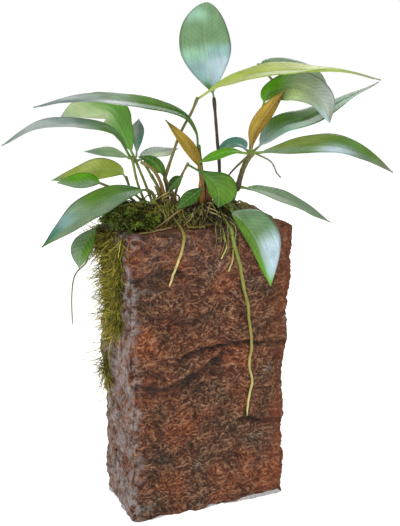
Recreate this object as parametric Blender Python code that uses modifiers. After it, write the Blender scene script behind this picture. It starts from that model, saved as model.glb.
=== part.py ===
"""Anubias rooted on an upright block of rough stone, the way it is sold for an aquarium.

Lengths in the tables are millimetres and become metres when an object is made. +Z is up, the origin
is the centre of the stone's flat base, +X runs along the stone's width and -Y is its front.
"""
import math
from collections import namedtuple

import bmesh
import bpy
from mathutils import Matrix, Vector, noise
from mathutils.bvhtree import BVHTree

MM = 0.001
GAP = 0.35                      # clearance between touching pieces

# --- Stone ---------------------------------------------------------------------------------------
STONE_SIZE = Vector((90.0, 48.0, 155.0))
STONE_CELLS = (10, 6, 16)
STONE_LEAN = 2.0                # how far the right face runs in at the foot
STONE_BEDS = ((106.6, 2.0, 3.5), (67.8, 2.2, 3.5), (29.1, 2.6, 4.0))    # height, depth, spread
STONE_WAVES = ((34.0, 1.8), (13.0, 1.6))                                # wavelength, amplitude
STONE_EDGE_WEAR = 0.8
STONE_FOOT = (14.0, 5.0)        # height of the chipped foot, depth of its chips
STONE_KNOB = (Vector((35.0, 17.0, 155.0)), 12.0, 4.0)                   # place, spread, height

# --- Leaves --------------------------------------------------------------------------------------
BLADE_THICKNESS = 0.8
BLADE_END = 0.4                 # half the width of a blade's two ends
BLADE_NECK = 0.05               # share of a blade's length that is still as thin as its stalk
BLADE_ACROSS = 4
BLADE_ALONG = 9

# route: from the neck to the tip; face: which way the upper side looks, at the neck and at the tip;
# peak: where along its length the blade is widest; fold: how far the two halves rise, in degrees;
# full and point: how blunt its outline is towards the neck and towards the tip, less being blunter;
# uneven: how much wider the half at u = 1 is, as a share of the mean.
Leaf = namedtuple("Leaf", "name route width peak face fold colour full point uneven",
                  defaults=(0.8, 1.05, 0.0))
GREEN = "#5F8A3A"
DEEP_GREEN = "#3F6B26"
GREY_GREEN = "#8FA38C"
PALE_GREEN = "#A7C37F"
YOUNG_GREEN = "#A2B65A"
GOLD = "#96872F"

LEAVES = (
    Leaf("crown", ((14, 7, 218), (10, 5, 236), (7, 3, 252), (9, 5, 267)), 27, 0.55,
         ((-0.5, -0.8, 0.2), (-0.5, -0.8, 0.2)), 10, PALE_GREEN, 0.95, 0.6),
    Leaf("arch_right", ((4, 5, 219), (13, -5, 226.5), (29, -19, 232.5), (47, -31, 233.5),
                        (62, -44, 233.5), (75, -56, 229.5)), 20, 0.5,
         ((-0.5, -0.4, 0.7), (0.3, 0.0, 1.0)), 8, YOUNG_GREEN, 1.2, 1.5),
    Leaf("back_right", ((39, 7, 236), (54, 4, 234), (67, -2, 230), (75, -7, 222)), 19, 0.5,
         ((-0.2, -0.5, 0.8), (0.1, -0.4, 0.9)), 4, GREY_GREEN, 0.5, 0.7),
    Leaf("broad_right", ((34, -10, 215), (36.5, -13, 222.5), (46.5, -23, 225), (55, -33, 219),
                         (58.5, -37, 208)), 22, 0.55, ((-0.5, -0.6, 0.6), (0.2, -0.7, 0.6)), 8, GREY_GREEN,
         0.6, 0.9),
    Leaf("gold_right", ((27, -11.5, 192), (28.5, -13.5, 203), (32.5, -18.5, 212), (39, -25.5, 224)), 9.5, 0.5,
         ((-0.8, -0.5, 0.2), (-0.6, -0.6, 0.5)), 15, GOLD),
    Leaf("rising_right", ((30, -10, 192.5), (45, -9, 203.5), (62, -10, 207.5), (83, -8, 216),
                          (105, -9, 226)), 21, 0.42, ((-0.4, -0.5, 0.8), (-0.2, 0.2, 0.9)), 10, GREEN),
    Leaf("long_right", ((28.5, -13.5, 191.5), (47, -28, 195.5), (60, -41, 196.5), (70, -53, 192.5),
                        (80, -63, 185)), 19, 0.5, ((-0.2, -0.4, 0.9), (0.3, -0.7, 0.7)), 8, GREEN),
    Leaf("low_right", ((25.3, -4, 172.5), (38, -6, 169.5), (57, -8, 162), (78, -9, 150)), 15, 0.45,
         ((-0.1, -0.3, 1.0), (0.3, -0.5, 0.8)), 6, GREY_GREEN),
    Leaf("drooping_front", ((14, -16, 163), (16, -29, 158), (21, -35, 147), (29, -33, 125)), 18, 0.4,
         ((-0.1, -0.7, 0.7), (-0.1, -1.0, 0.1)), 8, GREEN, 0.6, 0.95, -0.45),
    Leaf("centre_front", ((-5, -4, 186), (0, -13, 182), (5, -19, 175), (4, -22, 166)), 16, 0.7,
         ((0.0, -0.9, 0.5), (0.0, -1.0, 0.1)), 12, DEEP_GREEN, 1.35, 1.0, -0.25),
    Leaf("gold_left", ((1.5, -4, 184), (-1.5, -1, 191), (-6.5, 3, 199), (-12.5, 9, 208)), 8.5, 0.35,
         ((0.3, -0.9, 0.3), (0.1, -0.8, 0.5)), 15, GOLD),
    Leaf("long_left", ((3.5, 3, 194), (2.5, 3.5, 202), (-4.5, 4, 210.5), (-19, 8, 215.5), (-43, 10, 219),
                       (-62, 13, 219), (-80, 15, 216)), 15, 0.55,
         ((0.3, -0.6, 0.8), (-0.3, -0.1, 1.0)), 8, GREY_GREEN),
    Leaf("broad_left", ((-27, 18.5, 188.5), (-32, 24, 203.5), (-38, 27, 213), (-50, 36, 212), (-61, 45, 206)),
         21, 0.5, ((0.7, 0.6, 0.3), (0.1, 0.5, 0.9)), 6, GREEN),
    Leaf("sweeping_left", ((-30, 15, 189), (-37, 15, 200.5), (-49, 15, 205.5), (-66, 14, 207.5),
                           (-81, 14, 205.5), (-97, 13, 198)), 15, 0.5,
         ((0.3, -0.4, 0.9), (-0.4, -0.1, 0.9)), 8, GREY_GREEN),
    Leaf("small_left", ((-31, 13, 188.5), (-39, 13, 193.5), (-47, 13, 194), (-55, 14, 193)), 11, 0.5,
         ((-0.1, -0.4, 0.9), (-0.2, -0.3, 0.9)), -20, GREY_GREEN),
    Leaf("upright_left", ((-25.5, 19, 188.5), (-24, 21.5, 195), (-22.5, 25, 201.5), (-20, 30, 207)), 7, 0.6,
         ((-0.4, -0.9, 0.1), (0.0, -0.7, 0.7)), 8, GREY_GREEN),
    Leaf("pale_left", ((-25, 18.5, 186.5), (-12, 27, 188.5), (-4, 30, 189), (3, 31, 190)), 12, 0.5,
         ((-0.3, -0.4, 0.8), (-0.3, -0.4, 0.8)), 6, PALE_GREEN),
    Leaf("curled_left", ((-15, 5, 178), (-17, 4, 182.5), (-22, 5, 187.5), (-28, 8, 190)), 7, 0.5,
         ((-0.8, -0.3, 0.5), (-0.2, -0.5, 0.8)), 8, DEEP_GREEN),
    Leaf("mid_left_upper", ((-31, 21, 177), (-34, 24, 180.5), (-43, 31, 180.5), (-53, 38, 177.5),
                            (-65, 47, 174)), 16, 0.45, ((-0.8, -0.3, 0.5), (-0.3, -0.4, 0.9)), 10,
         YOUNG_GREEN),
    Leaf("mid_left_lower", ((-44, 21, 175), (-50, 21, 176.5), (-58, 21, 176), (-68, 22, 176.5)), 12, 0.45,
         ((0.0, -0.6, 0.8), (-0.4, -0.4, 0.8)), 14, GREEN),
    Leaf("low_left", ((-24, 6, 173), (-40, 4, 171.5), (-57, 0, 165), (-72, -5, 157), (-84, -8, 150)),
         22, 0.45, ((-0.3, -0.4, 0.9), (-0.4, -0.3, 0.9)), 8, DEEP_GREEN),
    Leaf("hanging_left", ((-50, 10.5, 155), (-55.5, 8, 150), (-60.5, 6, 143), (-62, 6, 134)), 12, 0.55,
         ((-0.8, -0.5, 0.4), (-0.6, -0.8, 0.0)), 6, GREEN),
    Leaf("small_centre", ((-8, -4, 180), (-12, -4.5, 178), (-16.5, -4.5, 173)), 6, 0.5,
         ((0.2, -0.9, 0.3), (0.2, -0.9, 0.3)), 8, DEEP_GREEN),
    Leaf("low_centre", ((2.5, -6, 174), (-4, -7, 170), (-13, -8, 164)), 8, 0.5,
         ((0.0, -0.6, 0.8), (0.0, -0.6, 0.8)), 8, DEEP_GREEN),
    Leaf("bright_centre", ((24.5, -12.5, 191.5), (15, -13.5, 193), (7, -11.5, 190.5), (-1, -9, 187.5)),
         7.5, 0.6, ((-0.2, -0.5, 0.8), (-0.4, -0.4, 0.8)), 8, GREEN),
    Leaf("blue_centre", ((26.5, -7.5, 192.5), (27, 1.5, 194.5), (24, 10, 193), (18, 16, 186)), 10, 0.5,
         ((-0.2, -0.5, 0.8), (-0.5, -0.4, 0.6)), 8, GREY_GREEN),
)

# --- Stems, leaf stalks and the rhizome -------------------------------------------------------------
# route: from the rhizome outwards; radii: at the two ends.
Tube = namedtuple("Tube", "name route radii steps sides colour")
BARK = "#4A3322"
STALK = "#5E5A2C"
OLIVE = "#7A7638"
RUST = "#8A5A24"

RHIZOME = Tube("rhizome", ((-21, 7, 161), (-12, 5, 161.5), (0, -3, 161.5), (11, -2, 161.5), (23, -2, 161)),
               (4.0, 3.6), 12, 8, BARK)
RHIZOME_RINGS = 0.14            # how far its old leaf scars stand out, as a share of its radius

STEMS = (
    Tube("stem_right_lower", ((19, -3, 166.5), (21, -3, 169), (23, -4, 172)), (2.2, 1.6), 3, 8, BARK),
    Tube("stem_right_upper", ((23, -4, 175), (25, -7, 183), (27, -11, 190)), (1.2, 1.4), 4, 8, OLIVE),
    Tube("stem_left_back", ((-18, 14, 163), (-22, 15, 174), (-27, 17, 186)), (0.8, 0.7), 5, 6, STALK),
    Tube("stem_left_front", ((-23, 11, 164), (-27, 13, 175), (-29, 14, 186)), (0.7, 0.7), 5, 6, STALK),
    Tube("stem_middle_back", ((-11, 10, 163), (-12, 9, 171), (-14, 7, 176)), (1.0, 0.8), 4, 6, OLIVE),
    Tube("stem_middle_front", ((-15, 4, 167), (-18, 2, 176), (-23, 1, 184), (-27, 4, 186.5)), (1.2, 0.7),
         6, 6, OLIVE),
    Tube("stalk_crown", ((15, 5, 165), (17, 6, 179), (16, 7, 197), (14, 7, 217)), (1.0, 0.8), 6, 6, BARK),
    Tube("stalk_arch_right", ((-14, 7, 182), (-6, 9, 197), (-3, 8, 204), (1, 6, 212), (3, 5, 218)),
         (0.7, 0.7), 7, 6, STALK),
    Tube("stalk_long_left", ((7, 6, 164), (6, 4, 179), (4, 3, 193)), (1.0, 0.8), 5, 6, BARK),
    Tube("stalk_gold_left", ((5, 0, 165), (3, -3, 175), (2, -4, 183)), (1.3, 1.0), 4, 6, RUST),
    Tube("stalk_centre_front", ((-13, 1, 165), (-9, -1, 177), (-5, -4, 185)), (0.8, 0.6), 5, 6, STALK),
    Tube("stalk_mid_left_upper", ((-21, 12, 164), (-28, 19, 170), (-31, 21, 176)), (0.8, 0.7), 4, 6,
         STALK),
    Tube("stalk_mid_left_lower", ((-25, 12, 163), (-34, 17, 170), (-43, 21, 174)), (0.8, 0.6), 4, 6,
         STALK),
    Tube("stalk_low_left", ((-20, 6, 167.5), (-21, 6, 170), (-23, 6, 172)), (1.1, 0.9), 3, 6, STALK),
    Tube("stalk_drooping_front", ((15, -7.5, 163), (14.5, -12, 165), (14, -15, 163.8)), (1.1, 0.9), 4, 6,
         STALK),
    Tube("stalk_back_right", ((29.5, -6, 193), (31.5, -3.5, 204), (37, -5, 212), (43, -4, 220), (45, 0, 227),
                              (41, 6, 233.5)), (0.7, 0.6), 9, 6, STALK),
)

# --- Roots: points along the stone's skin, by the face that they lie on --------------------------
ROOT_REACH = 2.5                # how far around a point a root keeps clear of the stone's bumps
Root = namedtuple("Root", "name face route radii steps colour")
ROOTS = (
    Root("root_long", "front", ((10, 152), (14, 137), (18, 121), (21, 104), (22, 92), (21, 80), (23, 70),
                                (21, 59), (21, 50)), (1.0, 0.6), 22, OLIVE),
    Root("root_short", "front", ((-16, 152), (-19, 141), (-24, 128)), (0.8, 0.5), 6, OLIVE),
    Root("root_side_left", "front", ((6, 151), (7, 146), (4, 140)), (0.5, 0.4), 4, OLIVE),
    Root("root_side_middle", "front", ((11, 143), (10, 138), (8, 133)), (0.5, 0.4), 3, OLIVE),
    Root("root_top_left", "top", ((-18, -13), (-27, -19), (-38, -20)), (0.8, 0.6), 6, OLIVE),
    Root("root_top_right", "top", ((9, -14), (-1, -16), (-10, -15)), (0.9, 0.7), 6, OLIVE),
    Root("root_hanging", "air", ((-53, 16, 142), (-55, 16, 135), (-57, 17, 132), (-60, 18, 129),
                                 (-62, 19, 124), (-63, 20, 113), (-63, 20, 99)), (0.5, 0.35), 12, STALK),
    Root("root_tendril", "air", ((31, -17, 189.5), (34, -19, 188), (36, -20.5, 185), (37, -21.5, 182),
                                 (39, -23, 179)), (0.5, 0.4), 6, STALK),
)

# --- Moss ----------------------------------------------------------------------------------------
MOSS = "#6B6426"
DARK_MOSS = "#39400F"
CUSHION_CENTRE = Vector((-37.0, -4.0, 158.5))
CUSHION_RADII = Vector((12.0, 15.0, 10.0))
CURTAIN_Y = (-17.0, 19.0)
CURTAIN_Z = (154.5, 92.0)
CURTAIN_THICKNESS = (3.0, 2.0)  # at the top and at the lower end
CURTAIN_NARROWING = 0.5         # share of its width that is left at the lower end
CURTAIN_CELLS = (1, 6, 8)
MOSS_CLEARANCE = 0.8
MOSS_REACH = 4.0                # how far around a point the moss keeps clear of the stone's bumps


def hex_colour(code):
    """A linear RGBA colour from a written #RRGGBB one."""
    channels = [int(code[i:i + 2], 16) / 255 for i in (1, 3, 5)]
    linear = [c / 12.92 if c <= 0.04045 else ((c + 0.055) / 1.055) ** 2.4 for c in channels]
    return (*linear, 1.0)


def material(name, code, roughness):
    """A plain Principled material."""
    made = bpy.data.materials.new(name)
    made.use_nodes = True
    shader = made.node_tree.nodes["Principled BSDF"]
    shader.inputs["Base Color"].default_value = hex_colour(code)
    shader.inputs["Roughness"].default_value = roughness
    return made


def add_object(collection, name, data, code, roughness):
    """A named object with its own material."""
    made = bpy.data.objects.new(name, data)
    data.materials.append(material(name, code, roughness))
    collection.objects.link(made)
    return made


def add_mesh(collection, name, bm, code, roughness, smooth=True):
    """An object from a bmesh in millimetres."""
    bmesh.ops.scale(bm, vec=(MM, MM, MM), verts=bm.verts)
    bmesh.ops.recalc_face_normals(bm, faces=bm.faces)
    mesh = bpy.data.meshes.new(name)
    bm.to_mesh(mesh)
    bm.free()
    if smooth:
        mesh.shade_smooth()
    return add_object(collection, name, mesh, code, roughness)


def sliced_block(size, centre, cells):
    """A box cut into cells, so that its skin can be shaped."""
    bm = bmesh.new()
    bmesh.ops.create_cube(bm, size=1.0, matrix=Matrix.Translation(centre) @ Matrix.Diagonal((*size, 1)))
    for axis, count in enumerate(cells):
        normal = Vector([float(axis == i) for i in range(3)])
        for cut in range(1, count):
            place = centre + normal * size[axis] * (cut / count - 0.5)
            everything = bm.verts[:] + bm.edges[:] + bm.faces[:]
            bmesh.ops.bisect_plane(bm, geom=everything, plane_co=place, plane_no=normal)
    return bm


def smooth_route(points, steps):
    """A smooth curve through the points, read at even distances: steps + 1 places."""
    points = [Vector(p) for p in points]
    ends = [2 * points[0] - points[1], *points, 2 * points[-1] - points[-2]]
    dense = [points[0]]
    for a, b, c, d in zip(ends, ends[1:], ends[2:], ends[3:]):
        for k in range(1, 13):
            t = k / 12
            bend = 2 * b + (c - a) * t + (2 * a - 5 * b + 4 * c - d) * t ** 2
            dense.append((bend + (3 * b - a - 3 * c + d) * t ** 3) / 2)
    travelled = [0.0]
    for p, q in zip(dense, dense[1:]):
        travelled.append(travelled[-1] + (q - p).length)
    route = []
    k = 0
    for step in range(steps + 1):
        want = travelled[-1] * step / steps
        while k < len(dense) - 2 and travelled[k + 1] < want:
            k += 1
        share = (want - travelled[k]) / (travelled[k + 1] - travelled[k])
        route.append(dense[k].lerp(dense[k + 1], share))
    return route


# --- Stone ---------------------------------------------------------------------------------------
def ripple(point, seed):
    """Broad and small waves of the hewn surface, in mm."""
    return sum(height * noise.noise(point / length + Vector((seed, 0, length)))
               for length, height in STONE_WAVES)


def hewn(point):
    """Where a point of the plain block goes on the rough stone."""
    half = STONE_SIZE / 2
    height = point.z / STONE_SIZE.z
    moved = point.copy()
    bed = sum(depth * math.exp(-((point.z - z) / spread) ** 2) for z, depth, spread in STONE_BEDS)
    foot = max(0.0, 1 - point.z / STONE_FOOT[0]) * STONE_FOOT[1]
    on_side = [abs(point[axis]) > half[axis] - 0.01 for axis in (0, 1)]
    on_top = height > 0.999
    wear = STONE_EDGE_WEAR * (sum(on_side) + on_top - 1)
    for axis in (0, 1):
        if on_side[axis]:
            chip = foot * max(0.0, noise.noise(point / 16 + Vector((7, axis, 0))) + 0.1)
            share = 1.0 if axis == 0 else 0.4
            outwards = ripple(point, axis * 5.0) - bed * share - wear - chip
            moved[axis] += outwards * math.copysign(1, point[axis])
    moved.x -= STONE_LEAN * (1 - height) * (point.x / STONE_SIZE.x + 0.5)
    if on_top:
        place, spread, knob = STONE_KNOB
        moved.z += 0.5 * ripple(point, 3.0) - wear
        moved.z += knob * math.exp(-((point - place).length / spread) ** 2)
    return moved


def stone_block():
    """The rough block, with a flat base."""
    bm = sliced_block(STONE_SIZE, Vector((0, 0, STONE_SIZE.z / 2)), STONE_CELLS)
    for vert in bm.verts:
        vert.co = hewn(vert.co)
    return bm


def touch(skin, start, direction, clearance, reach):
    """The place at a clearance above the highest part of the skin within reach of the ray."""
    start = Vector(start)
    direction = Vector(direction)
    across = direction.orthogonal().normalized() * reach
    probes = [start + Matrix.Rotation(k * math.tau / 8, 3, direction) @ across for k in range(8)]
    hits = [skin.ray_cast(probe, direction)[3] for probe in (start, *probes)]
    return start + direction * (min(hit for hit in hits if hit) - clearance)


# --- Leaves --------------------------------------------------------------------------------------
def half_width(leaf, t, u):
    """The width of one half of the blade, by the sign of u, at a share t of its length."""
    t = max(0.0, (t - BLADE_NECK) / (1 - BLADE_NECK))
    swell = math.sin(math.pi * t ** (math.log(0.5) / math.log(leaf.peak)))
    shape = leaf.full if t < leaf.peak else leaf.point
    share = 1 + leaf.uneven * math.copysign(1, u)
    return max(BLADE_END, leaf.width / 2 * share * max(0.0, swell) ** shape)


def blade(leaf):
    """The open surface of one blade: a grid bent along the leaf's midrib."""
    route = smooth_route(leaf.route, BLADE_ALONG)
    face_base, face_tip = (Vector(f) for f in leaf.face)
    fold = math.radians(leaf.fold)
    bm = bmesh.new()
    bmesh.ops.create_grid(bm, x_segments=BLADE_ACROSS, y_segments=BLADE_ALONG, size=1.0)
    for vert in bm.verts:
        u = vert.co.x
        t = (vert.co.y + 1) / 2
        row = round(t * BLADE_ALONG)
        ahead = route[min(row + 1, BLADE_ALONG)] - route[max(row - 1, 0)]
        side = ahead.cross(face_base.lerp(face_tip, t)).normalized()
        up = side.cross(ahead).normalized()
        reach = half_width(leaf, t, u)
        vert.co = route[row] + reach * (side * u * math.cos(fold) + up * abs(u) * math.sin(fold))
    return bm


def add_leaf(collection, leaf):
    """A thin closed blade."""
    made = add_mesh(collection, "leaf_" + leaf.name, blade(leaf), leaf.colour, 0.35)
    shell = made.modifiers.new("Thickness", "SOLIDIFY")
    shell.thickness = BLADE_THICKNESS * MM
    shell.offset = 0.0
    return made


# --- Stems and roots -----------------------------------------------------------------------------
def add_tube(collection, name, points, radii, sides, code):
    """A round tube through the points, with a radius at each and closed ends."""
    curve = bpy.data.curves.new(name, "CURVE")
    curve.dimensions = "3D"
    curve.bevel_depth = MM
    curve.bevel_resolution = sides // 2 - 2
    curve.use_fill_caps = True
    spline = curve.splines.new("POLY")
    spline.points.add(len(points) - 1)
    for point, place, radius in zip(spline.points, points, radii):
        point.co = (*(place * MM), 1.0)
        point.radius = radius
    return add_object(collection, name, curve, code, 0.6)


def taper(ends, steps):
    """Radii that run evenly from one end's to the other's."""
    return [ends[0] + (ends[1] - ends[0]) * k / steps for k in range(steps + 1)]


def add_stem(collection, stem):
    """A stem or stalk as given in the table."""
    radii = taper(stem.radii, stem.steps)
    points = smooth_route(stem.route, stem.steps)
    return add_tube(collection, stem.name, points, radii, stem.sides, stem.colour)


def add_rhizome(collection):
    """The creeping rhizome, ringed by the scars of old leaves."""
    radii = taper(RHIZOME.radii, RHIZOME.steps)
    radii = [radius * (1 + RHIZOME_RINGS * math.sin(2.3 * k)) for k, radius in enumerate(radii)]
    points = smooth_route(RHIZOME.route, RHIZOME.steps)
    return add_tube(collection, RHIZOME.name, points, radii, RHIZOME.sides, RHIZOME.colour)


def add_root(collection, root, skin):
    """A root that follows the stone's front or top, or hangs free."""
    route = smooth_route([(*p, 0) if len(p) == 2 else p for p in root.route], root.steps)
    clearance = root.radii[0] + GAP
    if root.face == "front":
        route = [touch(skin, (p.x, -100, p.y), (0, 1, 0), clearance, ROOT_REACH) for p in route]
    if root.face == "top":
        route = [touch(skin, (p.x, p.y, 250), (0, 0, -1), clearance, ROOT_REACH) for p in route]
    return add_tube(collection, root.name, route, taper(root.radii, root.steps), 6, root.colour)


# --- Moss ----------------------------------------------------------------------------------------
def moss_cushion(skin):
    """The dark clump on the stone's top, over its left edge."""
    bm = bmesh.new()
    bmesh.ops.create_icosphere(bm, subdivisions=3, radius=1.0)
    for vert in bm.verts:
        lump = 1 + 0.16 * noise.noise(vert.co * 2.2)
        floor = STONE_SIZE.z + MOSS_CLEARANCE
        vert.co = CUSHION_CENTRE + Vector([r * c * lump for r, c in zip(CUSHION_RADII, vert.co)])
        if abs(vert.co.x) < STONE_SIZE.x / 2 - 1:
            floor = touch(skin, (vert.co.x, vert.co.y, 250), (0, 0, -1), MOSS_CLEARANCE, MOSS_REACH).z
        vert.co.z = max(vert.co.z, floor)
    return bm


def moss_curtain(skin):
    """The moss that hangs down the stone's left face, thinner and narrower lower down."""
    bm = sliced_block(Vector((1, 1, 1)), Vector((0.5, 0.5, 0.5)), CURTAIN_CELLS)
    for vert in bm.verts:
        out, across, down = vert.co.x, vert.co.y, 1 - vert.co.z
        middle = sum(CURTAIN_Y) / 2
        spread = 1 - (1 - CURTAIN_NARROWING) * down
        y = middle + (CURTAIN_Y[0] - middle + across * (CURTAIN_Y[1] - CURTAIN_Y[0])) * spread
        z = CURTAIN_Z[0] + down * (CURTAIN_Z[1] - CURTAIN_Z[0])
        thick = CURTAIN_THICKNESS[0] + down * (CURTAIN_THICKNESS[1] - CURTAIN_THICKNESS[0])
        thick *= 1 + 0.3 * noise.noise(Vector((y, z, 0)) / 9)
        clearance = MOSS_CLEARANCE + out * thick
        vert.co = touch(skin, (-100, y, z), (1, 0, 0), clearance, MOSS_REACH)
    return bm


def build():
    """Model the whole plant on its stone."""
    for old in list(bpy.data.objects):
        bpy.data.objects.remove(old, do_unlink=True)
    collection = bpy.data.collections.new("anubias on stone")
    bpy.context.scene.collection.children.link(collection)

    stone = stone_block()
    skin = BVHTree.FromBMesh(stone)
    add_mesh(collection, "stone", stone, "#694633", 0.9, smooth=False)
    add_rhizome(collection)
    for stem in STEMS:
        add_stem(collection, stem)
    for leaf in LEAVES:
        add_leaf(collection, leaf)
    for root in ROOTS:
        add_root(collection, root, skin)
    add_mesh(collection, "moss_cushion", moss_cushion(skin), DARK_MOSS, 0.9)
    add_mesh(collection, "moss_curtain", moss_curtain(skin), MOSS, 0.9)


build()
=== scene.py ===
"""Anubias rooted on an upright block of rough stone: the finished look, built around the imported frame.

Lengths in the tables are millimetres and become metres when a mesh is finished. +Z is up, the origin
is the centre of the stone's flat base, +X runs along the stone's width and -Y is its front.
"""
import math
from collections import namedtuple

import bmesh
import bpy
import numpy as np
from mathutils import Euler, Matrix, Vector, noise
from mathutils.bvhtree import BVHTree
from mathutils.geometry import intersect_point_line


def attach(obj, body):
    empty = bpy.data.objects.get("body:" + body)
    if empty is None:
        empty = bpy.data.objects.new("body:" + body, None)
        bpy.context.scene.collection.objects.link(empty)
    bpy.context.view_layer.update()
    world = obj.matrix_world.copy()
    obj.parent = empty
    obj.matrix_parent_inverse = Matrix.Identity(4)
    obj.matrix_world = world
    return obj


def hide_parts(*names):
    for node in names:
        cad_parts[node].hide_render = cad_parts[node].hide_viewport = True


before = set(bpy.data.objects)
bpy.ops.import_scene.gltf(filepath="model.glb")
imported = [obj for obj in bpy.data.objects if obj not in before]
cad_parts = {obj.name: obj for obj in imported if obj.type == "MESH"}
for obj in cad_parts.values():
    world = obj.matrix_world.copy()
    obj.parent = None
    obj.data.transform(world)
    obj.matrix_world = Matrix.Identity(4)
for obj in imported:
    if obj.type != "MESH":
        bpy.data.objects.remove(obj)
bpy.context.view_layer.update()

bl_info = {
    "name": "Anubias on stone",
    "version": (1, 0, 0),
    "blender": (4, 5, 0),
    "location": "3D View > Sidebar > Plant",
    "description": "Builds an aquarium anubias rooted on a block of rough stone",
    "category": "Add Mesh",
}

MM = 0.001
BODY = "root"

# --- Stone: the block's own shape, as in the CAD ---------------------------------------------------
STONE_SIZE = Vector((90.0, 48.0, 155.0))
STONE_CELLS = (10, 6, 16)
STONE_LEAN = 2.0
STONE_BEDS = ((106.6, 2.0, 3.5), (67.8, 2.2, 3.5), (29.1, 2.6, 4.0))    # height, depth, spread
STONE_WAVES = ((34.0, 1.8), (13.0, 1.6))                                # wavelength, amplitude
STONE_EDGE_WEAR = 0.8
STONE_FOOT = (14.0, 5.0)
STONE_KNOB = (Vector((35.0, 17.0, 155.0)), 12.0, 4.0)
# Broken ledges across the front: their lines as (x, z), how deep they cut and how far below they fade.
STONE_LEDGES = (
    (((-16, 88), (-9, 91), (13, 94), (28, 92), (44, 91)), 1.7, 2.2),
    (((-42, 77), (-36, 74.5), (-24, 71), (-15, 75), (-7, 79.5), (7, 88.6)), 1.5, 4.5),
    (((17, 48.5), (26, 47.5), (36, 45.5), (45, 44)), 1.5, 2.0),
    (((-40, 132), (-25, 136), (-8, 131)), 1.2, 3.5),
    (((-42, 108), (-30, 112), (-12, 106), (6, 110)), 0.8, 3.0),
    (((-41, 36), (-28, 33), (-10, 38)), 0.9, 3.0),
)
# The matted strokes that lie over the stone, in three crossing directions: their width and length in mm.
STROKE_TILTS = (0.75, -0.6, 1.7)
STROKE_SIZE = (1.3, 1.3, 11)
# The directions in which the stone's fibrous ridges run.
STONE_GRAIN = tuple((Euler((tilt, tilt, 0)).to_matrix(), Vector((seed, 0, seed)))
                    for tilt, seed in ((0.75, 1), (-0.6, 8)))

# --- Leaf tones, and the blades ------------------------------------------------------------------
LIME = "#A9BC4E"
YELLOW_LIME = "#C4CF72"
FRESH = "#5A9C14"
LEAF = "#5A8428"
OLIVE_GREEN = "#7C8F3E"
DEEP = "#3A6618"
SHADE = "#1F3D14"
SAGE = "#7F9A76"
REED = "#6E9068"
PALE_SAGE = "#A3B59C"
# Painted sheen: a silvery grey put where the waxy blades catch a soft reflection.
SILVER_SHEEN = "#B9C5C0"
SLATE = "#7B918C"
# Painted highlights: a blue-white tone and a softer blue one, put where the waxy blades reflect the light.
FROST_HIGHLIGHT = "#B6CEDA"
MIST_HIGHLIGHT = "#8AAEAE"
MINT = "#8FBCA0"
# The veins' and midrib's own pale colour, and in the blades' tones painted light that shines through them.
PALE_VEIN_AND_BACKLIGHT = "#BCD098"
TAUPE = "#8C8A7A"
TEAL = "#4E8574"
GOLD = "#A68A30"
OLD_GOLD = "#8A6E22"
UMBER = "#5A3A14"

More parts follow.
